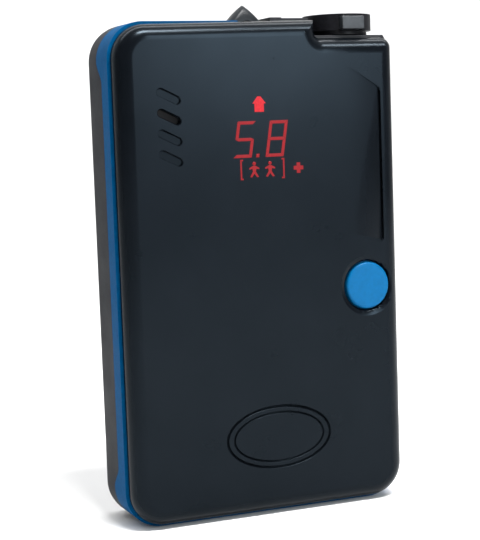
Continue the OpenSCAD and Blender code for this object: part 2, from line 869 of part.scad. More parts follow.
module lock_spring() {
  mid = (2 * knob_z + knob_t - lock_roof) / 2;
  color([0.8, 0.8, 0.82]) translate([knob_x, 0, 0]) difference() {
    round_y(0, mid, lock_spring_r, -lock_back_r - lock_bore, -lock_slot_r);
    round_y(0, mid, lock_spring_r - lock_spring_t, -lock_back_r - lock_bore - over,
            -lock_slot_r + over);
  }
}

// ---- Cells ----

module battery_tray() {
  color([0.16, 0.16, 0.17]) difference() {
    block([-tray_w / 2, tray_floor_y, tray_z], [tray_w / 2, tray_y, tray_z + tray_h]);
    block([-tray_in_w / 2, tray_in_y, tray_z + tray_wall],
          [tray_in_w / 2, tray_y + over, tray_z + tray_wall + tray_in_h]);
  }
}

// A cell that stands with its terminal up, or down if flip is true
module cell(x, flip) {
  low = tray_z + tray_wall + plate_t + (flip ? 0 : spring_len);
  translate([x, cell_y, low + (flip ? cell_len : 0)]) mirror([0, 0, flip ? 1 : 0]) {
    cylinder(h = cell_len - terminal_len, r = cell_r);
    translate([0, 0, cell_len - terminal_len - lap]) cylinder(h = terminal_len + lap, r = terminal_r);
  }
}

module cell_left() {
  color([0.75, 0.62, 0.3]) cell(-cell_pitch, false);
}

module cell_middle() {
  color([0.75, 0.62, 0.3]) cell(0, true);
}

module cell_right() {
  color([0.75, 0.62, 0.3]) cell(cell_pitch, false);
}

module contact_plates() {
  low_z = tray_z + tray_wall;
  high_z = low_z + tray_in_h - plate_t;
  color([0.8, 0.8, 0.78]) for (n = [-1:1], z = [low_z, high_z])
    translate([n * cell_pitch - plate_half, cell_y - plate_half, z])
      cube([2 * plate_half, 2 * plate_half, plate_t]);
}

// The coil spring at each cell's flat end, as a tapered tube
module contact_springs() {
  base = tray_z + tray_wall + plate_t;
  top = base + spring_len + cell_len;
  color([0.82, 0.82, 0.8]) for (n = [-1:1])
    translate([n * cell_pitch, cell_y, n == 0 ? top : base]) mirror([0, 0, n == 0 ? 1 : 0])
      difference() {
        cylinder(h = spring_len, r1 = spring_base_r, r2 = spring_tip_r);
        translate([0, 0, -0.01])
          cylinder(h = spring_len + 0.02, r1 = spring_base_r - spring_t, r2 = spring_tip_r - spring_t);
      }
}

module battery_door() {
  color([0.17, 0.18, 0.2]) difference() {
    union() {
      facing(door_y) linear_extrude(door_t) translate([0, door_z + door_h / 2])
        round_rect(door_w, door_h, door_r);
      for (side = [-1, 1])
        block([side * tab_x - tab_w / 2, door_y - tab_t, door_z - tab_drop],
              [side * tab_x + tab_w / 2, door_y, door_z]);
      for (side = [-1, 1])
        block([side * tab_x - tab_w / 2, door_y - tab_t, door_z],
              [side * tab_x + tab_w / 2, door_y + over, door_z + tab_lap]);
    }
    round_y(0, door_screw_z, door_screw_r + running_gap, door_y - over, back_y + over);
    round_y(0, door_screw_z, door_head_r + door_head_gap, back_y - door_head_t, back_y + over);
  }
}

module door_seal() {
  color([0.05, 0.05, 0.05]) facing(tray_y) linear_extrude(seal_ring_t)
    translate([0, tray_z + tray_h / 2]) difference() {
      square([tray_w, tray_h], center = true);
      square([tray_w - 2 * seal_ring_w, tray_h - 2 * seal_ring_w], center = true);
    }
}

module door_pad() {
  mid_z = tray_z + tray_h / 2;
  color([0.3, 0.3, 0.3])
    block([-cell_pitch - pad_margin, cell_y + cell_r + pad_gap, mid_z - pad_half_h],
          [cell_pitch + pad_margin, door_y, mid_z + pad_half_h]);
}

module door_screw() {
  color([0.7, 0.71, 0.73]) difference() {
    union() {
      round_y(0, door_screw_z, door_head_r, back_y - door_head_t, back_y);
      round_y(0, door_screw_z, door_screw_r, door_screw_end_y, back_y - door_head_t + lap);
    }
    block([-door_head_r, back_y - coin_slot_depth, door_screw_z - coin_slot_half],
          [door_head_r, back_y + over, door_screw_z + coin_slot_half]);
  }
}

module door_screw_clip() {
  color([0.6, 0.6, 0.62]) difference() {
    round_y(0, door_screw_z, door_clip_r, door_y - door_clip_t, door_y);
    round_y(0, door_screw_z, door_screw_r, door_y - door_clip_t - over, door_y + over);
  }
}

module door_insert() {
  color([0.78, 0.6, 0.25]) difference() {
    round_y(0, door_screw_z, insert_r, insert_y - insert_t, insert_y);
    round_y(0, door_screw_z, door_bore_r, insert_y - insert_t - over, insert_y + over);
  }
}

// ---- Aerials ----

module long_rod() {
  color([0.2, 0.2, 0.22]) translate([long_x, aerial_y, long_z0])
    cylinder(h = long_z1 - long_z0, r = long_r - coil_t);
}

// The winding between the cradles
module long_coil() {
  z0 = cradle_low_z + cradle_t;
  z1 = cradle_high_z - cradle_t;
  color([0.72, 0.4, 0.2]) translate([long_x, aerial_y, z0]) difference() {
    cylinder(h = z1 - z0, r = long_r);
    translate([0, 0, -over]) cylinder(h = z1 - z0 + 2 * over, r = long_r - coil_t);
  }
}

module cross_rod() {
  color([0.2, 0.2, 0.22]) translate([cross_x0, aerial_y, cross_z]) rotate([0, 90, 0])
    cylinder(h = cross_x1 - cross_x0, r = cross_r - coil_t);
}

module cross_coil() {
  x0 = cross_x0 + cross_bare;
  x1 = cross_x1 - cross_bare;
  color([0.72, 0.4, 0.2]) translate([x0, aerial_y, cross_z]) rotate([0, 90, 0]) difference() {
    cylinder(h = x1 - x0, r = cross_r);
    translate([0, 0, -over]) cylinder(h = x1 - x0 + 2 * over, r = cross_r - coil_t);
  }
}

module short_core() {
  color([0.2, 0.2, 0.22]) {
    round_y(short_x, short_z, short_r, board_back_y, board_back_y + short_flange);
    round_y(short_x, short_z, short_core_r, board_back_y, board_back_y + short_len);
    round_y(short_x, short_z, short_r, board_back_y + short_len - short_flange,
            board_back_y + short_len);
  }
}

module short_coil() {
  y0 = board_back_y + short_flange;
  y1 = board_back_y + short_len - short_flange;
  color([0.72, 0.4, 0.2]) difference() {
    round_y(short_x, short_z, short_r - short_coil_inset, y0, y1);
    round_y(short_x, short_z, short_core_r, y0 - over, y1 + over);
  }
}

// Blocks on the rear wall that hold the two ferrite rods
module aerial_cradles() {
  long_in = -door_w / 2 - cradle_side_gap;
  color([0.6, 0.6, 0.58]) {
    difference() {
      for (z = [cradle_low_z, cradle_high_z - cradle_t])
        block([long_x - long_r + coil_t, aerial_y, z], [long_in, back_in_y, z + cradle_t]);
      translate([long_x, aerial_y, 0]) cylinder(h = case_h, r = long_r - coil_t + seat_gap);
    }
    difference() {
      for (x = [cross_x0 + cradle_end, cross_x1 - cradle_end - cradle_t])
        block([x, aerial_y, cross_z - cross_r], [x + cradle_t, back_in_y, cross_z + cross_r]);
      translate([-case_w, aerial_y, cross_z]) rotate([0, 90, 0])
        cylinder(h = 2 * case_w, r = cross_r - coil_t + seat_gap);
    }
  }
}

module case_screws() {
  color([0.6, 0.61, 0.63]) for (p = POSTS) {
    round_y(p[0], p[1], screw_head_r, screw_seat_y, screw_seat_y + screw_head_t);
    round_y(p[0], p[1], screw_r, screw_seat_y - screw_len, screw_seat_y + lap);
  }
}

front_shell();
case_gasket();
mid_frame();
rear_shell();
top_deck();
lanyard_eye();
speaker_mesh();
speaker_frame();
speaker_cone();
speaker_magnet();
display_mask();
display_lights();
display_module();
main_board();
board_chips();
switch_board();
position_sensor();
button_seal();
tact_switch();
button_cap();
button_plunger();
switch_knob();
knob_index();
knob_seal();
knob_magnet();
retaining_clip();
wave_washer();
lock_button();
lock_spring();
battery_tray();
cell_left();
cell_middle();
cell_right();
contact_plates();
contact_springs();
battery_door();
door_seal();
door_pad();
door_screw();
door_screw_clip();
door_insert();
long_rod();
long_coil();
cross_rod();
cross_coil();
short_core();
short_coil();
aerial_cradles();
case_screws();
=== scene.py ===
import json
import math

import bmesh
import bpy
from mathutils import Matrix, Vector

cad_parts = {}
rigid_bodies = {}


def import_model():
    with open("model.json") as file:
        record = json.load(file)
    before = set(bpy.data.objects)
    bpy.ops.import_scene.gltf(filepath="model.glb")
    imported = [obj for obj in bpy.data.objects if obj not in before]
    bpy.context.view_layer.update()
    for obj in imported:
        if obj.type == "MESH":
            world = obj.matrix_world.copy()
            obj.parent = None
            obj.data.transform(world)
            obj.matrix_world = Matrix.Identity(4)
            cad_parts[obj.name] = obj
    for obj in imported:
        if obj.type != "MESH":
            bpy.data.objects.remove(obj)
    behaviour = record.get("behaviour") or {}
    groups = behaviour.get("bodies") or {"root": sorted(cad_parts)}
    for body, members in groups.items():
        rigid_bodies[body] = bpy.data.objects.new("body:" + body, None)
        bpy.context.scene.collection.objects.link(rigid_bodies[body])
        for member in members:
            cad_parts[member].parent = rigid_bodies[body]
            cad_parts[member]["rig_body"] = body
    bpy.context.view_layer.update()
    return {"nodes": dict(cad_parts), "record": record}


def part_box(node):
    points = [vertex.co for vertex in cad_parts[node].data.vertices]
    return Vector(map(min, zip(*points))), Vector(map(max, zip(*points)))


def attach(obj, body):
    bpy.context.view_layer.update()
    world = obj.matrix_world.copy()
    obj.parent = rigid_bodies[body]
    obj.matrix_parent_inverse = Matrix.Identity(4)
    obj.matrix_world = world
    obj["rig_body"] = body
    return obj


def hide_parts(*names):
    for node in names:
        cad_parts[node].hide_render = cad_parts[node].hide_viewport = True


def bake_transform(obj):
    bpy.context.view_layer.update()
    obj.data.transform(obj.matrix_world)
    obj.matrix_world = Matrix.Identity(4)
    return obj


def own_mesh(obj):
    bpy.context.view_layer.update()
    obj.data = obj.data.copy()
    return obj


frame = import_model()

# A pocket avalanche transceiver, seen from its left front. Each CAD node gets a detailed piece.
# Lengths are in millimetres unless a line says metres: X across, Y front to back, Z up.
MM = 0.001


def low(node):
    """The lowest corner of a CAD node, in millimetres."""
    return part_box(node)[0] / MM


def high(node):
    """The highest corner of a CAD node, in millimetres."""
    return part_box(node)[1] / MM


def middle(node):
    """The middle of a CAD node's box, in millimetres."""
    return (low(node) + high(node)) / 2


# ---- The case's own measures, as in the CAD ----
CASE_LEFT = low("mid_frame").x
CASE_RIGHT = high("mid_frame").x
CASE_BOTTOM = low("mid_frame").z
CASE_TOP = high("mid_frame").z
FRONT_Y = low("front_shell").y
RIM_Y = low("case_gasket").y
POST_Y = high("front_shell").y
CORNER_R = 8.5
SHELL_STEP = 0.7
WALL = 1.8
FRONT_EDGE_R = 3.8
NOTCH_DROP = 3.5
NOTCH_REACH = 9.8
NOTCH_X = middle("switch_knob").x - NOTCH_REACH
NOTCH_Z = CASE_TOP - NOTCH_DROP
# The visual face lies just behind the CAD's, so that the lit bars stand proud of it
LIGHTS_PROUD = 0.03
FACE_Y = FRONT_Y + LIGHTS_PROUD
# How far a cutter reaches past the wall that it cuts
PAST = 1
# The bare place for a name: its upright edges, and its depth at the right one
PANEL_LEFT = 21.0
PANEL_RIGHT = 30.0
PANEL_DEPTH = 0.3
PANEL_NORMAL = Vector((-PANEL_DEPTH, PANEL_LEFT - PANEL_RIGHT, 0)).normalized()


# ---- Camera ----
def aim_camera():
    """The camera at the left of the front, a little above the middle and slightly tilted."""
    target = Vector((-2.14, 0, 56.45)) * MM
    azimuth = math.radians(-22.38)
    elevation = math.radians(5.61)
    roll = math.radians(-2.04)
    distance_m = 0.3406
    lens_to_frame_height = 2.676
    back = Vector((math.sin(azimuth) * math.cos(elevation),
                   -math.cos(azimuth) * math.cos(elevation), math.sin(elevation)))
    level_right = Vector((math.cos(azimuth), math.sin(azimuth), 0))
    level_up = back.cross(level_right)
    right = level_right * math.cos(roll) + level_up * math.sin(roll)
    up = level_up * math.cos(roll) - level_right * math.sin(roll)
    data = bpy.data.cameras.new("camera")
    data.sensor_width = 36
    data.lens = lens_to_frame_height * data.sensor_width
    data.clip_start = 0.01
    camera = bpy.data.objects.new("camera", data)
    camera.location = target + back * distance_m
    camera.rotation_mode = "QUATERNION"
    camera.rotation_quaternion = Matrix((right, up, back)).transposed().to_quaternion()
    bpy.context.scene.collection.objects.link(camera)
    bpy.context.scene.camera = camera


# ---- Floor and light ----
def softbox(name, place, aim, size, power, color=(1, 1, 1)):
    """A rectangular area light that faces aim. Lengths are in metres, power in watts."""
    light = bpy.data.lights.new(name, "AREA")
    light.shape = "RECTANGLE"
    light.size, light.size_y = size
    light.energy = power
    light.color = color
    lamp = bpy.data.objects.new(name, light)
    back = (Vector(place) - Vector(aim)).normalized()
    points_down = back.z > 0.9
    across = Vector((1, 0, 0)) if points_down else Vector((0, 0, 1)).cross(back)
    up = back.cross(across).normalized()
    across = up.cross(back)
    lamp.location = place
    lamp.rotation_mode = "QUATERNION"
    lamp.rotation_quaternion = Matrix((across, up, back)).transposed().to_quaternion()
    bpy.context.scene.collection.objects.link(lamp)


def set_world():
    """Studio walls, bright behind the object and dim towards the front left."""
    bright_side = (0.30, 0.94, 0.15)
    world = bpy.data.worlds.new("studio")
    bpy.context.scene.world = world
    world.use_nodes = True
    tree = world.node_tree
    direction = tree.nodes.new("ShaderNodeTexCoord")
    dot = tree.nodes.new("ShaderNodeVectorMath")
    dot.operation = "DOT_PRODUCT"
    dot.inputs[1].default_value = bright_side
    ramp = tree.nodes.new("ShaderNodeMapRange")
    ramp.interpolation_type = "SMOOTHSTEP"
    ramp.inputs["From Min"].default_value = -0.5
    ramp.inputs["From Max"].default_value = 0.75
    ramp.inputs["To Min"].default_value = 0.2
    ramp.inputs["To Max"].default_value = 0.8
    background = tree.nodes["Background"]
    background.inputs["Color"].default_value = (0.94, 0.97, 1, 1)
    tree.links.new(direction.outputs["Generated"], dot.inputs[0])
    tree.links.new(dot.outputs["Value"], ramp.inputs["Value"])
    tree.links.new(ramp.outputs["Result"], background.inputs["Strength"])


def add_sweep():
    """The pale floor, which curves up into a wall well behind the object. Lengths are in metres."""
    near, far, half_w, wall_top = -3.0, 1.1, 3.0, 1.6
    bend_r, steps = 0.35, 12
    side = [(near, 0.0)]
    for i in range(steps + 1):
        a = math.radians(90 * i / steps)
        side.append((far - bend_r + bend_r * math.sin(a), bend_r * (1 - math.cos(a))))
    side.append((far, wall_top))
    mesh = bpy.data.meshes.new("floor")
    mesh.from_pydata([(x, y, z) for y, z in side for x in (-half_w, half_w)], [],
                     [(2 * i, 2 * i + 1, 2 * i + 3, 2 * i + 2) for i in range(len(side) - 1)])
    mesh.polygons.foreach_set("use_smooth", [True] * len(mesh.polygons))
    floor = bpy.data.objects.new("floor", mesh)
    bpy.context.scene.collection.objects.link(floor)
    paper = bpy.data.materials.new("floor_paper")
    paper.use_nodes = True
    shader = paper.node_tree.nodes["Principled BSDF"]
    shader.inputs["Base Color"].default_value = (0.78, 0.775, 0.77, 1)
    shader.inputs["Roughness"].default_value = 0.95
    shader.inputs["Specular IOR Level"].default_value = 0.1
    mesh.materials.append(paper)


def set_studio():
    """The floor, the world and the lamps: two above, one that the face mirrors, two behind."""
    add_sweep()
    set_world()
    cool = (0.86, 0.94, 1.0)
    softbox("overhead", place=(0.06, -0.25, 0.62), aim=(0.06, -0.25, 0), size=(0.25, 0.12), power=7.4)
    softbox("glint", place=(0.31, -0.25, 0.62), aim=(0.31, -0.25, 0), size=(0.05, 0.12), power=1.6)
    softbox("front_panel", place=(0.47, -1.08, 0.46), aim=(0, 0, 0.1), size=(0.24, 0.68), power=8.4,
            color=cool)
    softbox("left_back", place=(-0.7, 0.5, 0.4), aim=(0, 0, 0.06), size=(0.6, 0.6), power=0.8,
            color=cool)
    softbox("wall_wash", place=(0.1, 0.4, 1.35), aim=(0.1, 1.1, 0.25), size=(2.4, 0.3), power=25.0)
    bpy.context.scene.view_settings.view_transform = "Standard"


# ---- Materials ----
def new_material(name, color, rough, metallic=0.0, level=0.5):
    """A plain material. Its level is the shader's specular level."""
    material = bpy.data.materials.new(name)
    material.use_nodes = True
    shader = material.node_tree.nodes["Principled BSDF"]
    shader.inputs["Base Color"].default_value = (*color, 1)
    shader.inputs["Roughness"].default_value = rough
    shader.inputs["Metallic"].default_value = metallic
    shader.inputs["Specular IOR Level"].default_value = level
    return material


def scaled_place(material, size):
    """Object coordinates that grow by one over each of the three sizes, in millimetres."""
    tree = material.node_tree
    place = tree.nodes.new("ShaderNodeTexCoord")
    scale = tree.nodes.new("ShaderNodeMapping")
    scale.inputs["Scale"].default_value = [1 / (s * MM) for s in size]
    tree.links.new(place.outputs["Object"], scale.inputs["Vector"])
    return scale.outputs["Vector"]


def noise(material, size, detail=2.0):
    """Noise whose blobs have this size in millimetres, one number or three."""
    sizes = size if isinstance(size, tuple) else (size, size, size)
    tree = material.node_tree
    texture = tree.nodes.new("ShaderNodeTexNoise")
    texture.inputs["Scale"].default_value = 1
    texture.inputs["Detail"].default_value = detail
    tree.links.new(scaled_place(material, sizes), texture.inputs["Vector"])
    return texture.outputs["Fac"]


def stripes(material, pitch, direction="X", profile="SIN"):
    """Parallel waves, one every pitch along an axis, or every two pitches on the diagonal."""
    tree = material.node_tree
    texture = tree.nodes.new("ShaderNodeTexWave")
    texture.bands_direction = direction
    texture.wave_profile = profile
    waves_per_unit = 20 / (2 * math.pi)
    texture.inputs["Scale"].default_value = 1 / waves_per_unit
    tree.links.new(scaled_place(material, (pitch, pitch, pitch)), texture.inputs["Vector"])
    return texture.outputs["Fac"]


def spread(material, factor, lowest, highest, start=0.3, end=0.7):
    """Stretches a pattern from its middle range to two chosen values."""
    tree = material.node_tree
    ramp = tree.nodes.new("ShaderNodeMapRange")
    ramp.inputs["From Min"].default_value = start
    ramp.inputs["From Max"].default_value = end
    ramp.inputs["To Min"].default_value = lowest
    ramp.inputs["To Max"].default_value = highest
    tree.links.new(factor, ramp.inputs["Value"])
    return ramp.outputs["Result"]


def tint(material, factor, dark, light, start=0.3, end=0.7):
    """Lets a pattern run the base colour from one tone to another."""
    tree = material.node_tree
    mix = tree.nodes.new("ShaderNodeMix")
    mix.data_type = "RGBA"
    mix.inputs["A"].default_value = (*dark, 1)
    mix.inputs["B"].default_value = (*light, 1)
    tree.links.new(spread(material, factor, 0, 1, start, end), mix.inputs["Factor"])
    tree.links.new(mix.outputs["Result"], tree.nodes["Principled BSDF"].inputs["Base Color"])


def gloss(material, factor, lowest, highest):
    """Lets a pattern run the roughness between two values."""
    shader = material.node_tree.nodes["Principled BSDF"]
    material.node_tree.links.new(spread(material, factor, lowest, highest),
                                 shader.inputs["Roughness"])


def relief(material, height, depth):
    """Adds a pattern to the surface's bumps. Its depth is in millimetres."""
    tree = material.node_tree
    normal = tree.nodes["Principled BSDF"].inputs["Normal"]
    bump = tree.nodes.new("ShaderNodeBump")
    bump.inputs["Distance"].default_value = depth * MM
    bump.inputs["Strength"].default_value = 1
    if normal.links:
        tree.links.new(normal.links[0].from_socket, bump.inputs["Normal"])
    tree.links.new(height, bump.inputs["Height"])
    tree.links.new(bump.outputs["Normal"], normal)


def moulded(name, dark, light, rough, grain=0.25, depth=0.008, level=0.5):
    """Moulded plastic or rubber: a fine spark texture and faint cloudy tones."""
    material = new_material(name, light, rough, level=level)
    tint(material, noise(material, grain * 3, 6), dark, light)
    gloss(material, noise(material, 7, 5), rough - 0.05, rough + 0.05)
    relief(material, noise(material, grain, 3), depth)
    return material


def gloss_black():
    """Polished plastic: cloudy tones, faint smears, and ripples of two sizes in its surface."""
    material = new_material("gloss_black", (0.004, 0.0045, 0.0055), 0.27, level=0.12)
    shader = material.node_tree.nodes["Principled BSDF"]
    shader.inputs["Specular Tint"].default_value = (0.62, 0.82, 1, 1)
    tint(material, noise(material, 14, 4), (0.0018, 0.0024, 0.0034), (0.003, 0.0038, 0.0052))
    gloss(material, noise(material, (11, 11, 16), 3), 0.215, 0.245)
    relief(material, noise(material, 1.4, 2), 0.0012)
    relief(material, noise(material, 0.3, 2), 0.0006)
    return material


def metal(name, dark, light, rough, brush=(0.05, 0.05, 1.5)):
    """Metal with fine brush lines along Z and a slight change of tone."""
    material = new_material(name, light, rough, metallic=1.0)
    tint(material, noise(material, 1.2, 5), dark, light)
    gloss(material, noise(material, brush, 3), rough - 0.08, rough + 0.08)
    relief(material, noise(material, brush, 3), 0.002)
    return material


def cloth(name, color, pitch):
    """Two crossed sets of threads, with a fine diagonal change of tone."""
    material = new_material(name, color, 0.85)
    for direction in ("X", "Z"):
        relief(material, stripes(material, pitch, direction), pitch * 0.4)
    dark = tuple(c * 0.4 for c in color)
    tint(material, stripes(material, pitch, "DIAGONAL"), dark, color)
    return material


def wound_copper():
    """Lacquered copper wire, a little darker here and there."""
    material = new_material("copper_wire", (0.62, 0.26, 0.10), 0.3, metallic=1.0)
    tint(material, noise(material, (3, 3, 0.5), 4), (0.46, 0.16, 0.05), (0.72, 0.32, 0.13))
    gloss(material, noise(material, 0.8, 3), 0.24, 0.4)
    return material


def board_green():
    """Solder resist over copper tracks that stand a little proud."""
    material = new_material("board_green", (0.02, 0.16, 0.07), 0.3)
    tree = material.node_tree
    tracks = tree.nodes.new("ShaderNodeTexBrick")
    tracks.offset = 0.37
    tracks.squash = 0.6
    tracks.inputs["Scale"].default_value = 1
    tracks.inputs["Mortar Size"].default_value = 0.035
    tracks.inputs["Color1"].default_value = (0, 0, 0, 1)
    tracks.inputs["Color2"].default_value = (0.15, 0.15, 0.15, 1)
    tracks.inputs["Mortar"].default_value = (1, 1, 1, 1)
    turn = tree.nodes.new("ShaderNodeMapping")
    turn.inputs["Rotation"].default_value = (math.radians(90), 0, 0)
    tree.links.new(scaled_place(material, (5, 5, 5)), turn.inputs["Vector"])
    tree.links.new(turn.outputs["Vector"], tracks.inputs["Vector"])
    tint(material, tracks.outputs["Color"], (0.012, 0.10, 0.045), (0.05, 0.26, 0.11), 0, 1)
    relief(material, tracks.outputs["Color"], 0.03)
    gloss(material, noise(material, 2, 4), 0.24, 0.38)
    return material


def cell_wrap():
    """A plain foil sleeve: a gold band between two black ends."""
    material = new_material("cell_wrap", (0.62, 0.5, 0.22), 0.3, metallic=0.8)
    black, gold, cell_length = (0.03, 0.03, 0.032), (0.66, 0.5, 0.2), 44.5
    tint(material, stripes(material, cell_length, "Z", "SAW"), black, gold, 0.48, 0.5)
    gloss(material, noise(material, 3, 5), 0.22, 0.36)
    relief(material, noise(material, (6, 6, 1.5), 2), 0.01)
    return material


def lit_red():
    """The lit bars: the grain of the diffuser in their glow, the digits dimmer than the arrow."""
    material = new_material("lit_red", (0.06, 0.002, 0.003), 0.4, level=0.12)
    tree = material.node_tree
    shader = tree.nodes["Principled BSDF"]
    shader.inputs["Emission Color"].default_value = (1.0, 0.03, 0.045, 1)
    place = tree.nodes.new("ShaderNodeTexCoord")
    split = tree.nodes.new("ShaderNodeSeparateXYZ")
    tree.links.new(place.outputs["Object"], split.inputs["Vector"])
    digit_glow, arrow_glow = 0.29, 0.74
    gap_low = (middle("display_mask").z + 4.5) * MM
    gap_high = gap_low + 1.5 * MM
    level = spread(material, split.outputs["Z"], digit_glow, arrow_glow, gap_low, gap_high)
    glow = tree.nodes.new("ShaderNodeMath")
    glow.operation = "MULTIPLY"
    tree.links.new(level, glow.inputs[0])
    tree.links.new(spread(material, noise(material, 0.5, 3), 0.85, 1.1), glow.inputs[1])
    tree.links.new(glow.outputs["Value"], shader.inputs["Emission Strength"])
    relief(material, noise(material, 0.3, 2), 0.004)
    return material


# The two tones and roughness of each moulded material; some also have their own grain and depth
# in millimetres, or specular level
MOULDED = {
    "satin_black": dict(dark=(0.004, 0.0052, 0.0075), light=(0.008, 0.0098, 0.013), rough=0.42,
                        level=0.03),
    "deck_black": dict(dark=(0.007, 0.007, 0.009), light=(0.012, 0.012, 0.015), rough=0.45, level=0.2),
    "blue_band": dict(dark=(0.0, 0.05, 0.14), light=(0.0, 0.064, 0.175), rough=0.52, grain=0.3,
                      depth=0.006, level=0.015),
    "eye_grey": dict(dark=(0.007, 0.009, 0.011), light=(0.012, 0.0145, 0.017), rough=0.36, grain=0.3,
                     depth=0.004, level=0.12),
    "seal_dark": dict(dark=(0.012, 0.012, 0.013), light=(0.022, 0.022, 0.024), rough=0.75, grain=0.3,
                      depth=0.02),
    "cone_paper": dict(dark=(0.02, 0.02, 0.02), light=(0.045, 0.044, 0.042), rough=0.9, grain=0.5,
                       depth=0.05),
    "smoked_red": dict(dark=(0.05, 0.004, 0.005), light=(0.08, 0.007, 0.008), rough=0.2, grain=0.4,
                       depth=0.002),
    "display_white": dict(dark=(0.62, 0.62, 0.59), light=(0.74, 0.74, 0.71), rough=0.6),
    "chip_black": dict(dark=(0.012, 0.012, 0.013), light=(0.024, 0.024, 0.025), rough=0.6, grain=0.2,
                       depth=0.01),
    "button_blue": dict(dark=(0.0, 0.078, 0.2), light=(0.0, 0.092, 0.235), rough=0.38, grain=0.35,
                        depth=0.004, level=0.1),
    "knob_black": dict(dark=(0.004, 0.004, 0.005), light=(0.008, 0.008, 0.01), rough=0.38, level=0.1),
    "index_white": dict(dark=(0.68, 0.68, 0.66), light=(0.8, 0.8, 0.79), rough=0.5, grain=0.3,
                        depth=0.004),
    "lock_grey": dict(dark=(0.016, 0.018, 0.021), light=(0.026, 0.029, 0.033), rough=0.4, level=0.3),
    "tray_black": dict(dark=(0.012, 0.012, 0.013), light=(0.024, 0.024, 0.026), rough=0.6, grain=0.3,
                       depth=0.012),
    "pad_foam": dict(dark=(0.03, 0.03, 0.033), light=(0.09, 0.09, 0.095), rough=0.95, grain=0.5,
                     depth=0.12),
    "ferrite": dict(dark=(0.03, 0.03, 0.034), light=(0.065, 0.065, 0.07), rough=0.5, grain=0.6,
                    depth=0.01),
    "cradle_grey": dict(dark=(0.24, 0.24, 0.23), light=(0.33, 0.33, 0.32), rough=0.6),
}
METALS = {
    "pressed_steel": dict(dark=(0.48, 0.49, 0.51), light=(0.62, 0.63, 0.65), rough=0.3),
    "plated_steel": dict(dark=(0.6, 0.59, 0.55), light=(0.76, 0.75, 0.71), rough=0.24),
    "stainless": dict(dark=(0.5, 0.51, 0.53), light=(0.66, 0.67, 0.69), rough=0.26),
    "brass_insert": dict(dark=(0.55, 0.37, 0.12), light=(0.72, 0.52, 0.2), rough=0.28,
                         brush=(0.3, 5, 0.3)),
    "magnet_nickel": dict(dark=(0.52, 0.52, 0.5), light=(0.68, 0.68, 0.66), rough=0.16),
}
MATERIALS = {name: moulded(name, **look) for name, look in MOULDED.items()}
MATERIALS.update({name: metal(name, **look) for name, look in METALS.items()})
MATERIALS["gloss_black"] = gloss_black()
MATERIALS["speaker_cloth"] = cloth("speaker_cloth", (0.03, 0.03, 0.032), 0.16)
MATERIALS["lit_red"] = lit_red()
MATERIALS["board_green"] = board_green()
MATERIALS["cell_wrap"] = cell_wrap()
MATERIALS["copper_wire"] = wound_copper()
SLOT_OF = {part["node"]: part["material_slot"] for part in frame["record"]["subparts"]}


# ---- Mesh tools ----
def add_piece(name, points, faces):
    """A mesh object from points in millimetres, with doubled points merged and faces turned out."""
    merge_within = 0.004
    mesh = bpy.data.meshes.new(name)
    bm = bmesh.new()
    verts = [bm.verts.new(Vector(p) * MM) for p in points]
    for face in faces:
        bm.faces.new([verts[i] for i in face])
    bmesh.ops.remove_doubles(bm, verts=bm.verts, dist=merge_within * MM)
    bmesh.ops.recalc_face_normals(bm, faces=bm.faces)
    bm.to_mesh(mesh)
    bm.free()
    piece = bpy.data.objects.new(name, mesh)
    bpy.context.scene.collection.objects.link(piece)
    return piece


def loft(name, rings):
    """A closed solid through rings of points, each with as many points as the others."""
    count = len(rings[0])
    faces = []
    for r in range(len(rings) - 1):
        for i in range(count):
            j = (i + 1) % count
            faces.append((r * count + i, r * count + j, (r + 1) * count + j, (r + 1) * count + i))
    faces.append(tuple(reversed(range(count))))
    faces.append(tuple((len(rings) - 1) * count + i for i in range(count)))
    return add_piece(name, [p for ring in rings for p in ring], faces)


def closed_ring(name, rings):
    """A solid like a tyre through rings of points: the last ring joins the first."""
    count = len(rings[0])
    faces = []
    for r in range(len(rings)):
        s = (r + 1) % len(rings)
        for i in range(count):
            j = (i + 1) % count
            faces.append((r * count + i, r * count + j, s * count + j, s * count + i))
    return add_piece(name, [p for ring in rings for p in ring], faces)


def arc(cx, cz, radius, start, end, steps):
    """Points on an arc, with its angles in degrees."""
    turns = [math.radians(start + (end - start) * i / steps) for i in range(steps + 1)]
    return [(cx + radius * math.cos(t), cz + radius * math.sin(t)) for t in turns]


def circle_points(radius, steps):
    """Points round a circle about the origin."""
    return arc(0, 0, radius, 0, 360 - 360 / steps, steps - 1)


def about_axis(axis, centre, along, a, b):
    """The point at (a, b) from an axis through centre, so far along it."""
    if axis == "X":
        return (along, centre[1] + a, centre[2] + b)
    if axis == "Y":
        return (centre[0] + a, along, centre[2] + b)
    return (centre[0] + a, centre[1] + b, along)


def turned_rings(profile, centre, axis, steps):
    """One ring of points for each (radius, distance along the axis) of a profile."""
    return [[about_axis(axis, centre, along, a, b) for a, b in circle_points(radius, steps)]
            for radius, along in profile]


def lathe(name, profile, centre, axis="Y", steps=72):
    """Turns a profile of (radius, distance along the axis) about an axis through centre."""
    smallest_r = 0.001
    open_profile = [(max(radius, smallest_r), along) for radius, along in profile]
    return loft(name, turned_rings(open_profile, centre, axis, steps))


def plate(name, outline, y0, y1):
    """A plate with an outline of (x, z) points, between two depths."""
    return loft(name, [[(x, y, z) for x, z in outline] for y in (y0, y1)])


def tube(name, path, radius, sides=8):
    """A round wire along a path of points."""
    rings = []
    for i, point in enumerate(path):
        ahead = path[min(i + 1, len(path) - 1)] - path[max(i - 1, 0)]
        lies_flat = abs(ahead.z) < abs(ahead.x) + abs(ahead.y)
        off_path = Vector((0.31, 0.27, 1)) if lies_flat else Vector((1, 0.2, 0.1))
        side = ahead.cross(off_path).normalized()
        top = ahead.cross(side).normalized()
        rings.append([tuple(point + (side * a + top * b)) for a, b in circle_points(radius, sides)])
    return loft(name, rings)


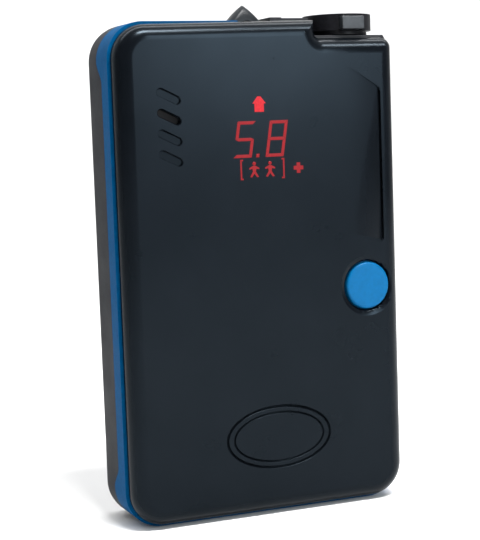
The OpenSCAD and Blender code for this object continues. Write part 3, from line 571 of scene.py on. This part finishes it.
def joined(name, pieces):
    """One object from several."""
    bm = bmesh.new()
    for piece in pieces:
        bm.from_mesh(piece.data)
        bpy.data.objects.remove(piece)
    mesh = bpy.data.meshes.new(name)
    bm.to_mesh(mesh)
    bm.free()
    whole = bpy.data.objects.new(name, mesh)
    bpy.context.scene.collection.objects.link(whole)
    return whole


def settle(piece):
    """Turns what the modifiers make of a piece into its mesh."""
    result = piece.evaluated_get(bpy.context.evaluated_depsgraph_get())
    mesh = bpy.data.meshes.new_from_object(result)
    piece.modifiers.clear()
    piece.data = mesh
    return mesh


def combine(piece, others, operation="DIFFERENCE"):
    """Cuts the others from a piece, or adds them to it, one after another."""
    for other in others:
        step = piece.modifiers.new("combine", "BOOLEAN")
        step.operation = operation
        step.solver = "EXACT"
        step.object = other
    settle(piece)
    for other in others:
        bpy.data.objects.remove(other)
    return piece


def soften(piece, width, angle=35, segments=2):
    """Rounds the edges that are sharper than angle, in degrees, and shades the rest smooth."""
    if width:
        bevel = piece.modifiers.new("edges", "BEVEL")
        bevel.width = width * MM
        bevel.segments = segments
        bevel.limit_method = "ANGLE"
        bevel.angle_limit = math.radians(angle)
    piece.data.polygons.foreach_set("use_smooth", [True] * len(piece.data.polygons))
    normals = piece.modifiers.new("normals", "WEIGHTED_NORMAL")
    normals.keep_sharp = False
    normals.weight = 80


def shade_flats(piece, angle=50, more_flats=()):
    """Smooth shading that leaves the flat faces truly flat: those along an axis or a named normal."""
    axes = [Vector(a) for a in ((1, 0, 0), (0, 1, 0), (0, 0, 1))] + [Vector(n) for n in more_flats]
    mesh = settle(piece)
    level_within = 0.003 * MM
    smooth_cos, parallel_cos = math.cos(math.radians(angle)), 0.999

    def flat_normal(face):
        corners = [mesh.vertices[v].co for v in face.vertices]
        for axis in axes:
            heights = [axis.dot(co) for co in corners]
            if max(heights) - min(heights) < level_within:
                return axis if axis.dot(face.normal) > 0 else -axis
        return None

    flats = [flat_normal(face) for face in mesh.polygons]
    faces_at = [[] for _ in mesh.vertices]
    for face in mesh.polygons:
        for v in face.vertices:
            faces_at[v].append(face)
    normals = [None] * len(mesh.loops)
    for face in mesh.polygons:
        own = flats[face.index]
        for loop in face.loop_indices:
            around = faces_at[mesh.loops[loop].vertex_index]
            if own is not None:
                same = [g for g in around if flats[g.index] is not None
                        and abs(flats[g.index].dot(own)) > parallel_cos]
                normals[loop] = flats[max(same, key=lambda g: g.area).index].copy()
                continue
            near = [g for g in around if g.normal.dot(face.normal) > smooth_cos]
            level = [g for g in near if flats[g.index] is not None]
            total = Vector((0, 0, 0))
            for g in level or near:
                total += g.normal * g.area
            normals[loop] = total.normalized() if total.length > 0 else face.normal.copy()
    mesh.polygons.foreach_set("use_smooth", [True] * len(mesh.polygons))
    mesh.normals_split_custom_set(normals)


def dress(piece, *nodes):
    """Gives a piece the slot and material of the CAD nodes it stands for."""
    slot = SLOT_OF[nodes[0]]
    piece.data.materials.clear()
    piece.data.materials.append(MATERIALS[slot])
    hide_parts(*nodes)
    return piece


def finish(piece, *nodes):
    """Dresses a piece and lets it ride on the body of the CAD nodes it stands for."""
    dress(piece, *nodes)
    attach(piece, frame["nodes"][nodes[0]]["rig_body"])
    return piece


def rounded_copy(node, width):
    """A copy of a CAD node with its flat faces merged and its sharp edges rounded."""
    merge_within, flat_within = 0.0001, math.radians(0.5)
    mesh = bpy.data.meshes.new(node + "_piece")
    bm = bmesh.new()
    bm.from_mesh(frame["nodes"][node].data)
    bmesh.ops.remove_doubles(bm, verts=bm.verts, dist=merge_within * MM)
    bmesh.ops.dissolve_limit(bm, angle_limit=flat_within, verts=bm.verts, edges=bm.edges)
    bm.to_mesh(mesh)
    bm.free()
    piece = bpy.data.objects.new(node + "_piece", mesh)
    bpy.context.scene.collection.objects.link(piece)
    soften(piece, width)
    return piece


def refine(node, width):
    """A rounded copy that rides on its CAD node's body."""
    return finish(rounded_copy(node, width), node)


# ---- Front shell ----
def shell_outline(inset):
    """The case's outline moved inwards, as (x, z) points, with the switch's notch at its top right.

    The top edge rises a little from the left corner to the notch."""
    notch_inner_r, wall_top_r, notch_end_r, top_rise = 0.8, 1.0, 3.2, 0.62

    def corner(x, z, inward_x, inward_z, radius, start, steps):
        reach = max(radius, inset)
        return arc(x + inward_x * reach, z + inward_z * reach, max(radius - inset, 0),
                   start, start + 90, steps)

    big, small = 16, 8
    points = corner(CASE_LEFT, CASE_BOTTOM, 1, 1, CORNER_R, 180, big)
    points += corner(CASE_RIGHT, CASE_BOTTOM, -1, 1, CORNER_R, 270, big)
    points += corner(CASE_RIGHT, NOTCH_Z, -1, -1, notch_end_r, 0, small)
    points += arc(NOTCH_X + notch_inner_r, NOTCH_Z + notch_inner_r, notch_inner_r + inset,
                  270, 180, small)
    points += corner(NOTCH_X, CASE_TOP + top_rise, -1, -1, wall_top_r, 0, small)
    points += corner(CASE_LEFT, CASE_TOP, 1, -1, CORNER_R, 90, big)
    return points


def shell_body():
    """The shell's closed wall: rim, rounded front edge and face outside, and the hollow inside."""
    inner_face_y = FRONT_Y + WALL
    inner_r, inner_steps, outer_steps = 0.9, 4, 14
    section = []
    for i in range(inner_steps + 1):
        a = math.radians(90 * i / inner_steps)
        section.append((SHELL_STEP + WALL + inner_r * (1 - math.sin(a)),
                        inner_face_y + inner_r * (1 - math.cos(a))))
    section += [(SHELL_STEP + WALL, RIM_Y), (SHELL_STEP, RIM_Y)]
    for i in range(outer_steps + 1):
        a = math.radians(90 * i / outer_steps)
        section.append((SHELL_STEP + FRONT_EDGE_R * (1 - math.cos(a)),
                        FACE_Y + FRONT_EDGE_R * (1 - math.sin(a))))
    rings = [[(x, y, z) for x, z in shell_outline(inset)] for inset, y in section]
    return loft("front_shell_piece", rings)


def speaker_slots():
    """Four slanted slots with sloping walls: three blind and one through, over the loudspeaker."""
    centre = middle("speaker_mesh")
    count, open_slot, pitch, shift = 4, 2, 4.55, -0.35
    half_len, half_w, tilt = 3.1, 1.02, math.radians(-26)
    slope, sloping_depth, floor_past = 0.4, 0.7, 0.02
    cutters = []

    def slot(centre_z, grow, y):
        ends, radius = half_len - half_w, half_w + grow
        outline = arc(ends, 0, radius, -90, 90, 8) + arc(-ends, 0, radius, 90, 270, 8)
        return [(centre.x + shift + x * math.cos(tilt) - z * math.sin(tilt), y,
                 centre_z + x * math.sin(tilt) + z * math.cos(tilt))
                for x, z in outline]

    for i in range(count):
        centre_z = centre.z + (i - (count - 1) / 2) * pitch
        depth = WALL + PAST if i == open_slot else sloping_depth
        floor_grow = -slope * sloping_depth
        cutters.append(loft("slot", [slot(centre_z, 0, FRONT_Y - PAST),
                                     slot(centre_z, 0, FACE_Y),
                                     slot(centre_z, floor_grow, FACE_Y + sloping_depth),
                                     slot(centre_z, floor_grow, FACE_Y + depth + floor_past)]))
    return cutters


def button_dish():
    """The shallow dish about the option button, and the steep dark cone down to its hole."""
    centre = middle("button_cap")
    hole_r, cone_r, dish_r, rim_w = 5.75, 6.25, 7.3, 0.3
    hole_depth, cone_depth, dish_depth = 1.2, 0.28, 0.12
    back_y, front_y = FRONT_Y + WALL + PAST, FRONT_Y - PAST
    profile = [(0, back_y), (hole_r, back_y), (hole_r, FACE_Y + hole_depth),
               (cone_r, FACE_Y + cone_depth), (dish_r - rim_w, FACE_Y + dish_depth),
               (dish_r, FACE_Y), (dish_r, front_y), (0, front_y)]
    return lathe("dish", profile, centre, "Y", steps=96)


def name_panel():
    """The bare place for a name: a shallow wedge, deepest along its upright right wall."""
    foot, head, corner_r = 61.7, 98.7, 1.6
    left_foot, left_head = 64.5, 103.5
    outline = [(PANEL_LEFT, left_foot), (PANEL_RIGHT - corner_r, foot)]
    outline += arc(PANEL_RIGHT - corner_r, foot + corner_r, corner_r, -80, 0, 5)
    outline += arc(PANEL_RIGHT - corner_r, head - corner_r, corner_r, 0, 60, 5)
    outline += [(PANEL_LEFT, left_head)]

    def floor_y(x):
        return FACE_Y + PANEL_DEPTH * (x - PANEL_LEFT) / (PANEL_RIGHT - PANEL_LEFT)

    return loft("panel", [[(x, FRONT_Y - PAST, z) for x, z in outline],
                          [(x, floor_y(x), z) for x, z in outline]])


def panel_groove():
    """The deeper groove along the name place's upright wall."""
    width, depth, foot, head, head_slant = 0.55, 0.85, 62.6, 97.6, 0.3
    outline = [(PANEL_RIGHT - width, foot), (PANEL_RIGHT, foot),
               (PANEL_RIGHT, head - head_slant), (PANEL_RIGHT - width, head)]
    return plate("panel_groove", outline, FRONT_Y - PAST, FACE_Y + depth)


def oval_groove(half_w, half_h, width, depth):
    """An oval groove with a rounded section about the bare badge place."""
    centre_x, centre_z, lift, cutter_top = 1.4, 18.4, 0.02, 0.3
    around, across = 96, 10

    def oval(grow, y):
        return [(centre_x + (half_w + grow) * math.cos(t), y, centre_z + (half_h + grow) * math.sin(t))
                for t in (2 * math.pi * i / around for i in range(around))]

    rings = [oval(width / 2, FACE_Y - cutter_top)]
    for i in range(across + 1):
        t = 1 - 2 * i / across
        rings.append(oval(t * width / 2, FACE_Y - lift + depth * (1 + math.cos(math.pi * t)) / 2))
    rings.append(oval(-width / 2, FACE_Y - cutter_top))
    return closed_ring("groove", rings)


def rod(name, place, radius, start_y, end_y, steps):
    """A plain cylinder along Y, about a place."""
    return lathe(name, [(0, start_y), (radius, start_y), (radius, end_y), (0, end_y)], place, "Y", steps)


def display_window():
    """The pocket behind the face that holds the display's mask."""
    mask_low, mask_high = low("display_mask"), high("display_mask")
    outline = [(mask_low.x, mask_low.z), (mask_high.x, mask_low.z),
               (mask_high.x, mask_high.z), (mask_low.x, mask_high.z)]
    return plate("window", outline, mask_low.y, FRONT_Y + WALL + PAST)


def front_shell():
    """The shell with its screw posts, openings and recesses, softened before the ovals are cut."""
    post_r, post_foot_y = 3.2, FRONT_Y + WALL - 0.5
    bore_r, bore_y = 1.25, low("case_screws").y - 0.3
    edge_r = 0.14
    shell = shell_body()
    places = screw_places()
    combine(shell, [rod("post", place, post_r, post_foot_y, POST_Y, 48) for place in places], "UNION")
    cutters = [rod("bore", place, bore_r, bore_y, POST_Y + PAST, 32) for place in places]
    cutters += speaker_slots()
    cutters += [button_dish(), name_panel(), panel_groove(), display_window()]
    combine(shell, cutters)
    soften(shell, edge_r, angle=32, segments=3)
    shell.modifiers.remove(shell.modifiers["normals"])
    settle(shell)
    combine(shell, [oval_groove(half_w=12.9, half_h=7.1, width=0.8, depth=0.42),
                    oval_groove(half_w=11.2, half_h=5.7, width=0.65, depth=0.32)])
    shade_flats(shell, more_flats=[PANEL_NORMAL])
    finish(shell, "front_shell")


# ---- Lit display ----
def digit_bars(on):
    """The outlines of a seven-bar digit's lit bars: top, two upper, middle, two lower, bottom."""
    height, width, bar = 8.2, 4.5, 0.72
    mid, half = height / 2, bar / 2

    def mirrored(points):
        return [(width - x, z) for x, z in points]

    upper = [(0, height), (bar, height - bar), (bar, mid + half), (0, mid)]
    lower = [(0, mid), (bar, mid - half), (bar, bar), (0, 0)]
    shapes = [[(0, height), (width, height), (width - bar, height - bar), (bar, height - bar)],
              upper, mirrored(upper),
              [(0, mid), (bar, mid + half), (width - bar, mid + half), (width, mid),
               (width - bar, mid - half), (bar, mid - half)],
              lower, mirrored(lower),
              [(0, 0), (width, 0), (width - bar, bar), (bar, bar)]]
    return [shape for shape, lit in zip(shapes, on) if lit]


def figure_outlines():
    """A small standing figure with spread arms and legs, and its head."""
    half = [(0.28, 3.0), (1.38, 2.42), (1.42, 2.05), (0.52, 2.2), (0.42, 1.45), (1.22, 0.12),
            (0.72, 0.0), (0, 0.95)]
    body = half + [(-x, z) for x, z in reversed(half[:-1])]
    head = arc(0, 3.55, 0.48, 0, 340, 17)
    return [body, head]


def arrow_outline():
    """An upright arrow with a blunt tip."""
    shaft, barb, tip, neck_z, tip_z = 1.15, 1.65, 0.4, 1.9, 3.5
    return [(-shaft, 0), (shaft, 0), (shaft, neck_z), (barb, neck_z), (tip, tip_z), (-tip, tip_z),
            (-barb, neck_z), (-shaft, neck_z)]


def bracket_outline():
    """An opening square bracket."""
    width, height, stroke, foot = 0.7, 4.6, 0.36, 0.34
    return [(0, 0), (width, 0), (width, foot), (stroke, foot), (stroke, height - foot),
            (width, height - foot), (width, height), (0, height)]


def plus_outline():
    """A plus sign about its own middle."""
    arm, half = 1.2, 0.45
    return [(half, half), (half, arm), (-half, arm), (-half, half), (-arm, half), (-arm, -half),
            (-half, -half), (-half, -arm), (half, -arm), (half, -half), (arm, -half), (arm, half)]


def scaled(shape, size, about=(0, 0)):
    """An outline made larger or smaller about a point."""
    return [(about[0] + (x - about[0]) * size, about[1] + (z - about[1]) * size) for x, z in shape]


def display_lights():
    """The lit 5.8, an arrow above it, and two figures in brackets with a plus sign below it."""
    five, eight = (1, 1, 0, 1, 0, 1, 1), (1, 1, 1, 1, 1, 1, 1)
    centre_x = middle("display_mask").x - 0.28
    slant, bar_scale, figure_scale = math.tan(math.radians(9.5)), 0.985, 0.88
    digit_z, arrow_z, icon_z = 83.0, 93.2, 78.4
    eight_x, digit_pitch, point_x, point_size = -0.35, 7.9, -2.7, 0.8
    arrow_x, figures_x, plus_x = -1.5, (-3.2, 0.7), 7.8
    figure_lift, bracket_drop, plus_lift = 0.1, 0.4, 1.85
    left_bracket_x, right_bracket_x = -6.6, 4.3
    thickness = 0.08
    outlines = []

    def add(shape, x, z, lean=0.0):
        outlines.append([(centre_x + x + px + pz * lean, z + pz) for px, pz in shape])

    for x, on in ((eight_x - digit_pitch, five), (eight_x, eight)):
        for bar in digit_bars(on):
            bar_middle = [sum(values) / len(bar) for values in zip(*bar)]
            add(scaled(bar, bar_scale, bar_middle), x, digit_z, slant)
    add([(0, 0), (point_size, 0), (point_size, point_size), (0, point_size)], point_x, digit_z, slant)
    add(arrow_outline(), arrow_x, arrow_z)
    for x in figures_x:
        for outline in figure_outlines():
            add(scaled(outline, figure_scale), x, icon_z + figure_lift)
    add(bracket_outline(), left_bracket_x, icon_z - bracket_drop)
    add([(-x, z) for x, z in bracket_outline()], right_bracket_x, icon_z - bracket_drop)
    add(plus_outline(), plus_x, icon_z + plus_lift)
    bars = [plate("bar", outline, FRONT_Y, FRONT_Y + thickness) for outline in outlines]
    lights = joined("display_lights_piece", bars)
    soften(lights, 0)
    finish(lights, "display_lights")


# ---- Option button and lanyard eye ----
def button_cap():
    """A gently domed cap with a rolled rim, its flange and its stem."""
    centre = middle("button_cap")
    cap_r, rim_r, dome, dome_steps = 5.5, 0.55, 0.12, 6
    flange_r, flange_t, stem_r = 6.2, 0.6, 1.6
    flange_y, back_y = FRONT_Y + WALL, high("button_cap").y
    top = [((cap_r - rim_r) * i / dome_steps, FRONT_Y + dome * (i / dome_steps) ** 2)
           for i in range(dome_steps + 1)]
    edge = [(x, FRONT_Y + dome + z) for x, z in arc(cap_r - rim_r, rim_r, rim_r, -84, 0, 7)]
    body = [(cap_r, flange_y), (flange_r, flange_y), (flange_r, flange_y + flange_t),
            (stem_r, flange_y + flange_t), (stem_r, back_y), (0, back_y)]
    cap = lathe("button_cap_piece", top + edge + body, centre, "Y", steps=96)
    soften(cap, 0.06, angle=50)
    finish(cap, "button_cap")


def button_seal():
    """The rubber seal under the option button, which stays in place."""
    seal = dress(rounded_copy("button_seal", 0.1), "button_seal")
    settle(seal)
    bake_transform(seal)


def superellipse(half_x, half_y, power, steps):
    """Points round an oval that is squarer the higher its power."""
    points = []
    for i in range(steps):
        turn = 2 * math.pi * i / steps
        c, s = math.cos(turn), math.sin(turn)
        points.append((half_x * math.copysign(abs(c) ** (2 / power), c),
                       half_y * math.copysign(abs(s) ** (2 / power), s)))
    return points


def lanyard_eye():
    """A plate that tapers to a rounded tip, oval in section, with a rolled hole for the lanyard."""
    centre = middle("lanyard_eye")
    eye_low, eye_high = low("lanyard_eye"), high("lanyard_eye")
    half_w, half_t = (eye_high.x - eye_low.x) / 2, (eye_high.y - eye_low.y) / 2
    seat_z, foot_top_z = 109.6, CASE_TOP - 0.1
    foot_power, tip_power = 4.0, 2.1
    spring_z, flare_w, lean, height_steps, steps = 113.4, 4.5, -0.25, 24, 64
    bow, side_bow, least = 1.16, 1.7, 0.0004
    section = [(seat_z, half_w, half_t, foot_power, 0), (foot_top_z, half_w, half_t, foot_power, 0)]
    for i in range(height_steps + 1):
        t = math.sin(math.radians(90 * i / height_steps))
        z = spring_z + (eye_high.z - spring_z) * t
        if z > CASE_TOP:
            section.append((z, flare_w * max(1 - t ** bow, least) ** (1 / bow),
                            half_t * max(1 - t ** side_bow, least) ** (1 / side_bow),
                            foot_power - (foot_power - tip_power) * t, lean))
    eye = loft("lanyard_eye_piece",
               [[(centre.x + shift + x, y, z) for x, y in superellipse(half_x, half_y, power, steps)]
                for z, half_x, half_y, power, shift in section])
    combine(eye, [eye_tenon(centre.x, eye_low.z, seat_z)], "UNION")
    combine(eye, [eye_hole(centre.x, half_t)])
    soften(eye, 0.1, angle=50)
    finish(eye, "lanyard_eye")


def eye_tenon(centre_x, foot_z, seat_z):
    """The eye's root, which goes down into the case."""
    half_x, half_y, lap = 2.0, 1.5, 0.3
    outline = [(centre_x - half_x, foot_z), (centre_x + half_x, foot_z),
               (centre_x + half_x, seat_z + lap), (centre_x - half_x, seat_z + lap)]
    return plate("tenon", outline, -half_y, half_y)


def eye_hole(centre_x, half_t):
    """The cutter of the lanyard's hole, with rolled edges on both sides."""
    hole_r, hole_z, roll = 2.0, 112.3, 0.35
    turns = [math.radians(a) for a in (0, 30, 60, 90)]
    flare = [(hole_r + roll * (1 - math.cos(a)), half_t - roll * (1 - math.sin(a))) for a in turns]
    profile = [(0, -half_t - PAST), (hole_r + roll, -half_t - PAST)]
    profile += [(r, -y) for r, y in reversed(flare)] + flare
    profile += [(hole_r + roll, half_t + PAST), (0, half_t + PAST)]
    return lathe("hole", profile, (centre_x, 0, hole_z), "Y", steps=64)


# ---- Screws ----
def screw_places():
    """The axes of the four case screws: the means of the CAD points that lie near each other."""
    one_screw = 4
    found = []
    for vertex in frame["nodes"]["case_screws"].data.vertices:
        x, z = vertex.co.x / MM, vertex.co.z / MM
        for i, (sum_x, sum_z, count) in enumerate(found):
            if abs(sum_x / count - x) < one_screw and abs(sum_z / count - z) < one_screw:
                found[i] = (sum_x + x, sum_z + z, count + 1)
                break
        else:
            found.append((x, z, 1))
    return [Vector((sum_x / count, 0, sum_z / count)) for sum_x, sum_z, count in found]


def star_outline(x, z):
    """The outline of a six-lobed driver recess."""
    lobes, steps, mean_r, wave = 6, 48, 1.125, 0.175
    points = []
    for i in range(steps):
        t = 2 * math.pi * i / steps
        r = mean_r + wave * math.cos(lobes * t)
        points.append((x + r * math.cos(t), z + r * math.sin(t)))
    return points


def screw_profile(end_y, seat_y, head_y):
    """Half of a screw's section: ridged shank, plain neck and pan head."""
    head_r, head_round, shank_r, pitch = 2.4, 0.9, 1.25, 0.8
    tip_r, root_r = shank_r * 0.5, shank_r * 0.8
    plain_neck, lead = 2, 0.4
    profile = [(0, end_y), (tip_r, end_y)]
    y = end_y + lead
    while y < seat_y - plain_neck:
        profile += [(root_r, y), (shank_r, y + pitch / 2)]
        y += pitch
    profile += [(root_r, y), (root_r, seat_y), (head_r, seat_y)]
    profile += [(x, head_y - head_round + z)
                for x, z in arc(head_r - head_round, 0, head_round, 0, 90, 6)]
    return profile + [(0, head_y)]


def case_screws():
    """Four screws with pan heads and six-lobed recesses."""
    end_y, head_y = low("case_screws").y, high("case_screws").y
    head_t, recess_depth = 2, 1.1
    profile = screw_profile(end_y, head_y - head_t, head_y)
    screws = []
    for place in screw_places():
        screw = lathe("screw", profile, place, "Y", steps=48)
        recess = plate("recess", star_outline(place.x, place.z), head_y - recess_depth, head_y + PAST)
        screws.append(combine(screw, [recess]))
    whole = joined("case_screws_piece", screws)
    soften(whole, 0.05, angle=50)
    finish(whole, "case_screws")


# ---- Cells, springs and windings ----
def cell(node, flip):
    """A cell: flat end, crimped can and raised terminal, which points down when flip is true."""
    centre, bottom, top = middle(node), low(node).z, high(node).z
    r, crimp_r, nub_r, nub = 5.25, 5.05, 1.9, 0.8
    body = top - bottom - nub
    profile = [(0, 0.25), (3.9, 0.25), (4.2, 0), (4.8, 0), (crimp_r, 0.25), (crimp_r, 0.7), (r, 0.8),
               (r, body - 1.3), (crimp_r, body - 1.2), (r - 0.25, body - 0.7), (r - 0.7, body - 0.05),
               (r - 1.2, body), (3.0, body - 0.35), (2.1, body - 0.35), (nub_r, body - 0.1),
               (nub_r, body + nub - 0.2), (nub_r - 0.2, body + nub), (0, body + nub)]
    if flip:
        profile = [(radius, top - z) for radius, z in profile]
    else:
        profile = [(radius, bottom + z) for radius, z in profile]
    piece = lathe(node + "_piece", profile, centre, "Z", steps=64)
    soften(piece, 0.08, angle=40)
    finish(piece, node)


def coil_path(centre, start, end, start_r, end_r, turns, wire, axis):
    """A helix that closes up at both ends, as a wound compression spring does. Radii are outer."""
    steps, closing = turns * 28, 0.35
    inset = wire if end > start else -wire
    path = []
    for i in range(steps + 1):
        t = i / steps
        eased = t * t * (3 - 2 * t) * closing + t * (1 - closing)
        along = start + inset + (end - start - 2 * inset) * eased
        angle = 2 * math.pi * turns * t
        r = start_r + (end_r - start_r) * t - wire
        path.append(Vector(about_axis(axis, centre, along, r * math.cos(angle), r * math.sin(angle))))
    return path


def contact_springs():
    """The tapered springs at the cells' flat ends, with their wide end on the contact plate."""
    length, seat_r, tip_r, turns, wire = 4.1, 3.6, 2.6, 4, 0.3
    springs = []
    for node, up in (("cell_left", True), ("cell_middle", False), ("cell_right", True)):
        tip = low(node).z if up else high(node).z
        seat = tip - length if up else tip + length
        path = coil_path(middle(node), seat, tip, seat_r, tip_r, turns, wire, "Z")
        springs.append(tube("spring", path, wire))
    whole = joined("contact_springs_piece", springs)
    soften(whole, 0)
    finish(whole, "contact_springs")


def lock_spring():
    """The small coil behind the lock button."""
    centre, start, end = middle("lock_spring"), low("lock_spring").y, high("lock_spring").y
    coil_r, turns, wire = 1.2, 6, 0.17
    path = coil_path(centre, start, end, coil_r, coil_r, turns, wire, "Y")
    spring = tube("lock_spring_piece", path, wire)
    soften(spring, 0)
    settle(spring)
    finish(spring, "lock_spring")
    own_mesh(spring)


def winding(node, axis, bore_r):
    """A close-wound coil: each turn of wire shows as a rounded ring."""
    wire, steps, across_wire = 0.5, 40, (0.08, 0.3, 0.5, 0.7, 0.92)
    index = "XYZ".index(axis)
    centre, start, end = middle(node), low(node)[index], high(node)[index]
    outer_r = (high(node) - low(node))[(index + 1) % 3] / 2
    turns = round((end - start) / wire)
    step = (end - start) / turns
    profile = [(bore_r, start)]
    for i in range(turns):
        for t in across_wire:
            swell = math.sqrt(max(1 - (2 * t - 1) ** 2, 0))
            profile.append((outer_r - wire / 2 + wire / 2 * swell, start + (i + t) * step))
    profile.append((bore_r, end))
    piece = closed_ring(node + "_piece", turned_rings(profile, centre, axis, steps))
    soften(piece, 0)
    finish(piece, node)


# ---- The whole object ----
# The edge rounding of each CAD shape that is otherwise kept as it is
ROUNDED = {
    "mid_frame": 0.45, "rear_shell": 0.3, "battery_door": 0.35, "top_deck": 0.25,
    "case_gasket": 0.05, "switch_knob": 0.35, "knob_index": 0.05, "lock_button": 0.3,
    "knob_seal": 0.2, "knob_magnet": 0.15, "retaining_clip": 0.1, "wave_washer": 0.05,
    "speaker_mesh": 0.05, "speaker_frame": 0.12, "speaker_cone": 0.02, "speaker_magnet": 0.3,
    "display_mask": 0.03, "display_module": 0.2, "main_board": 0.06, "board_chips": 0.12,
    "switch_board": 0.06, "position_sensor": 0.08, "tact_switch": 0.15,
    "button_plunger": 0.15, "battery_tray": 0.25, "contact_plates": 0.08, "door_seal": 0.12,
    "door_pad": 0.6, "door_screw": 0.2, "door_screw_clip": 0.06, "door_insert": 0.15,
    "long_rod": 0.3, "cross_rod": 0.3, "short_core": 0.2, "aerial_cradles": 0.3,
}

aim_camera()
set_studio()
front_shell()
display_lights()
button_cap()
lanyard_eye()
case_screws()
cell("cell_left", flip=False)
cell("cell_middle", flip=True)
cell("cell_right", flip=False)
contact_springs()
lock_spring()
winding("long_coil", axis="Z", bore_r=4.0)
winding("cross_coil", axis="X", bore_r=3.5)
winding("short_coil", axis="Y", bore_r=3.0)
button_seal()
for kept_node, rounding in ROUNDED.items():
    refine(kept_node, rounding)
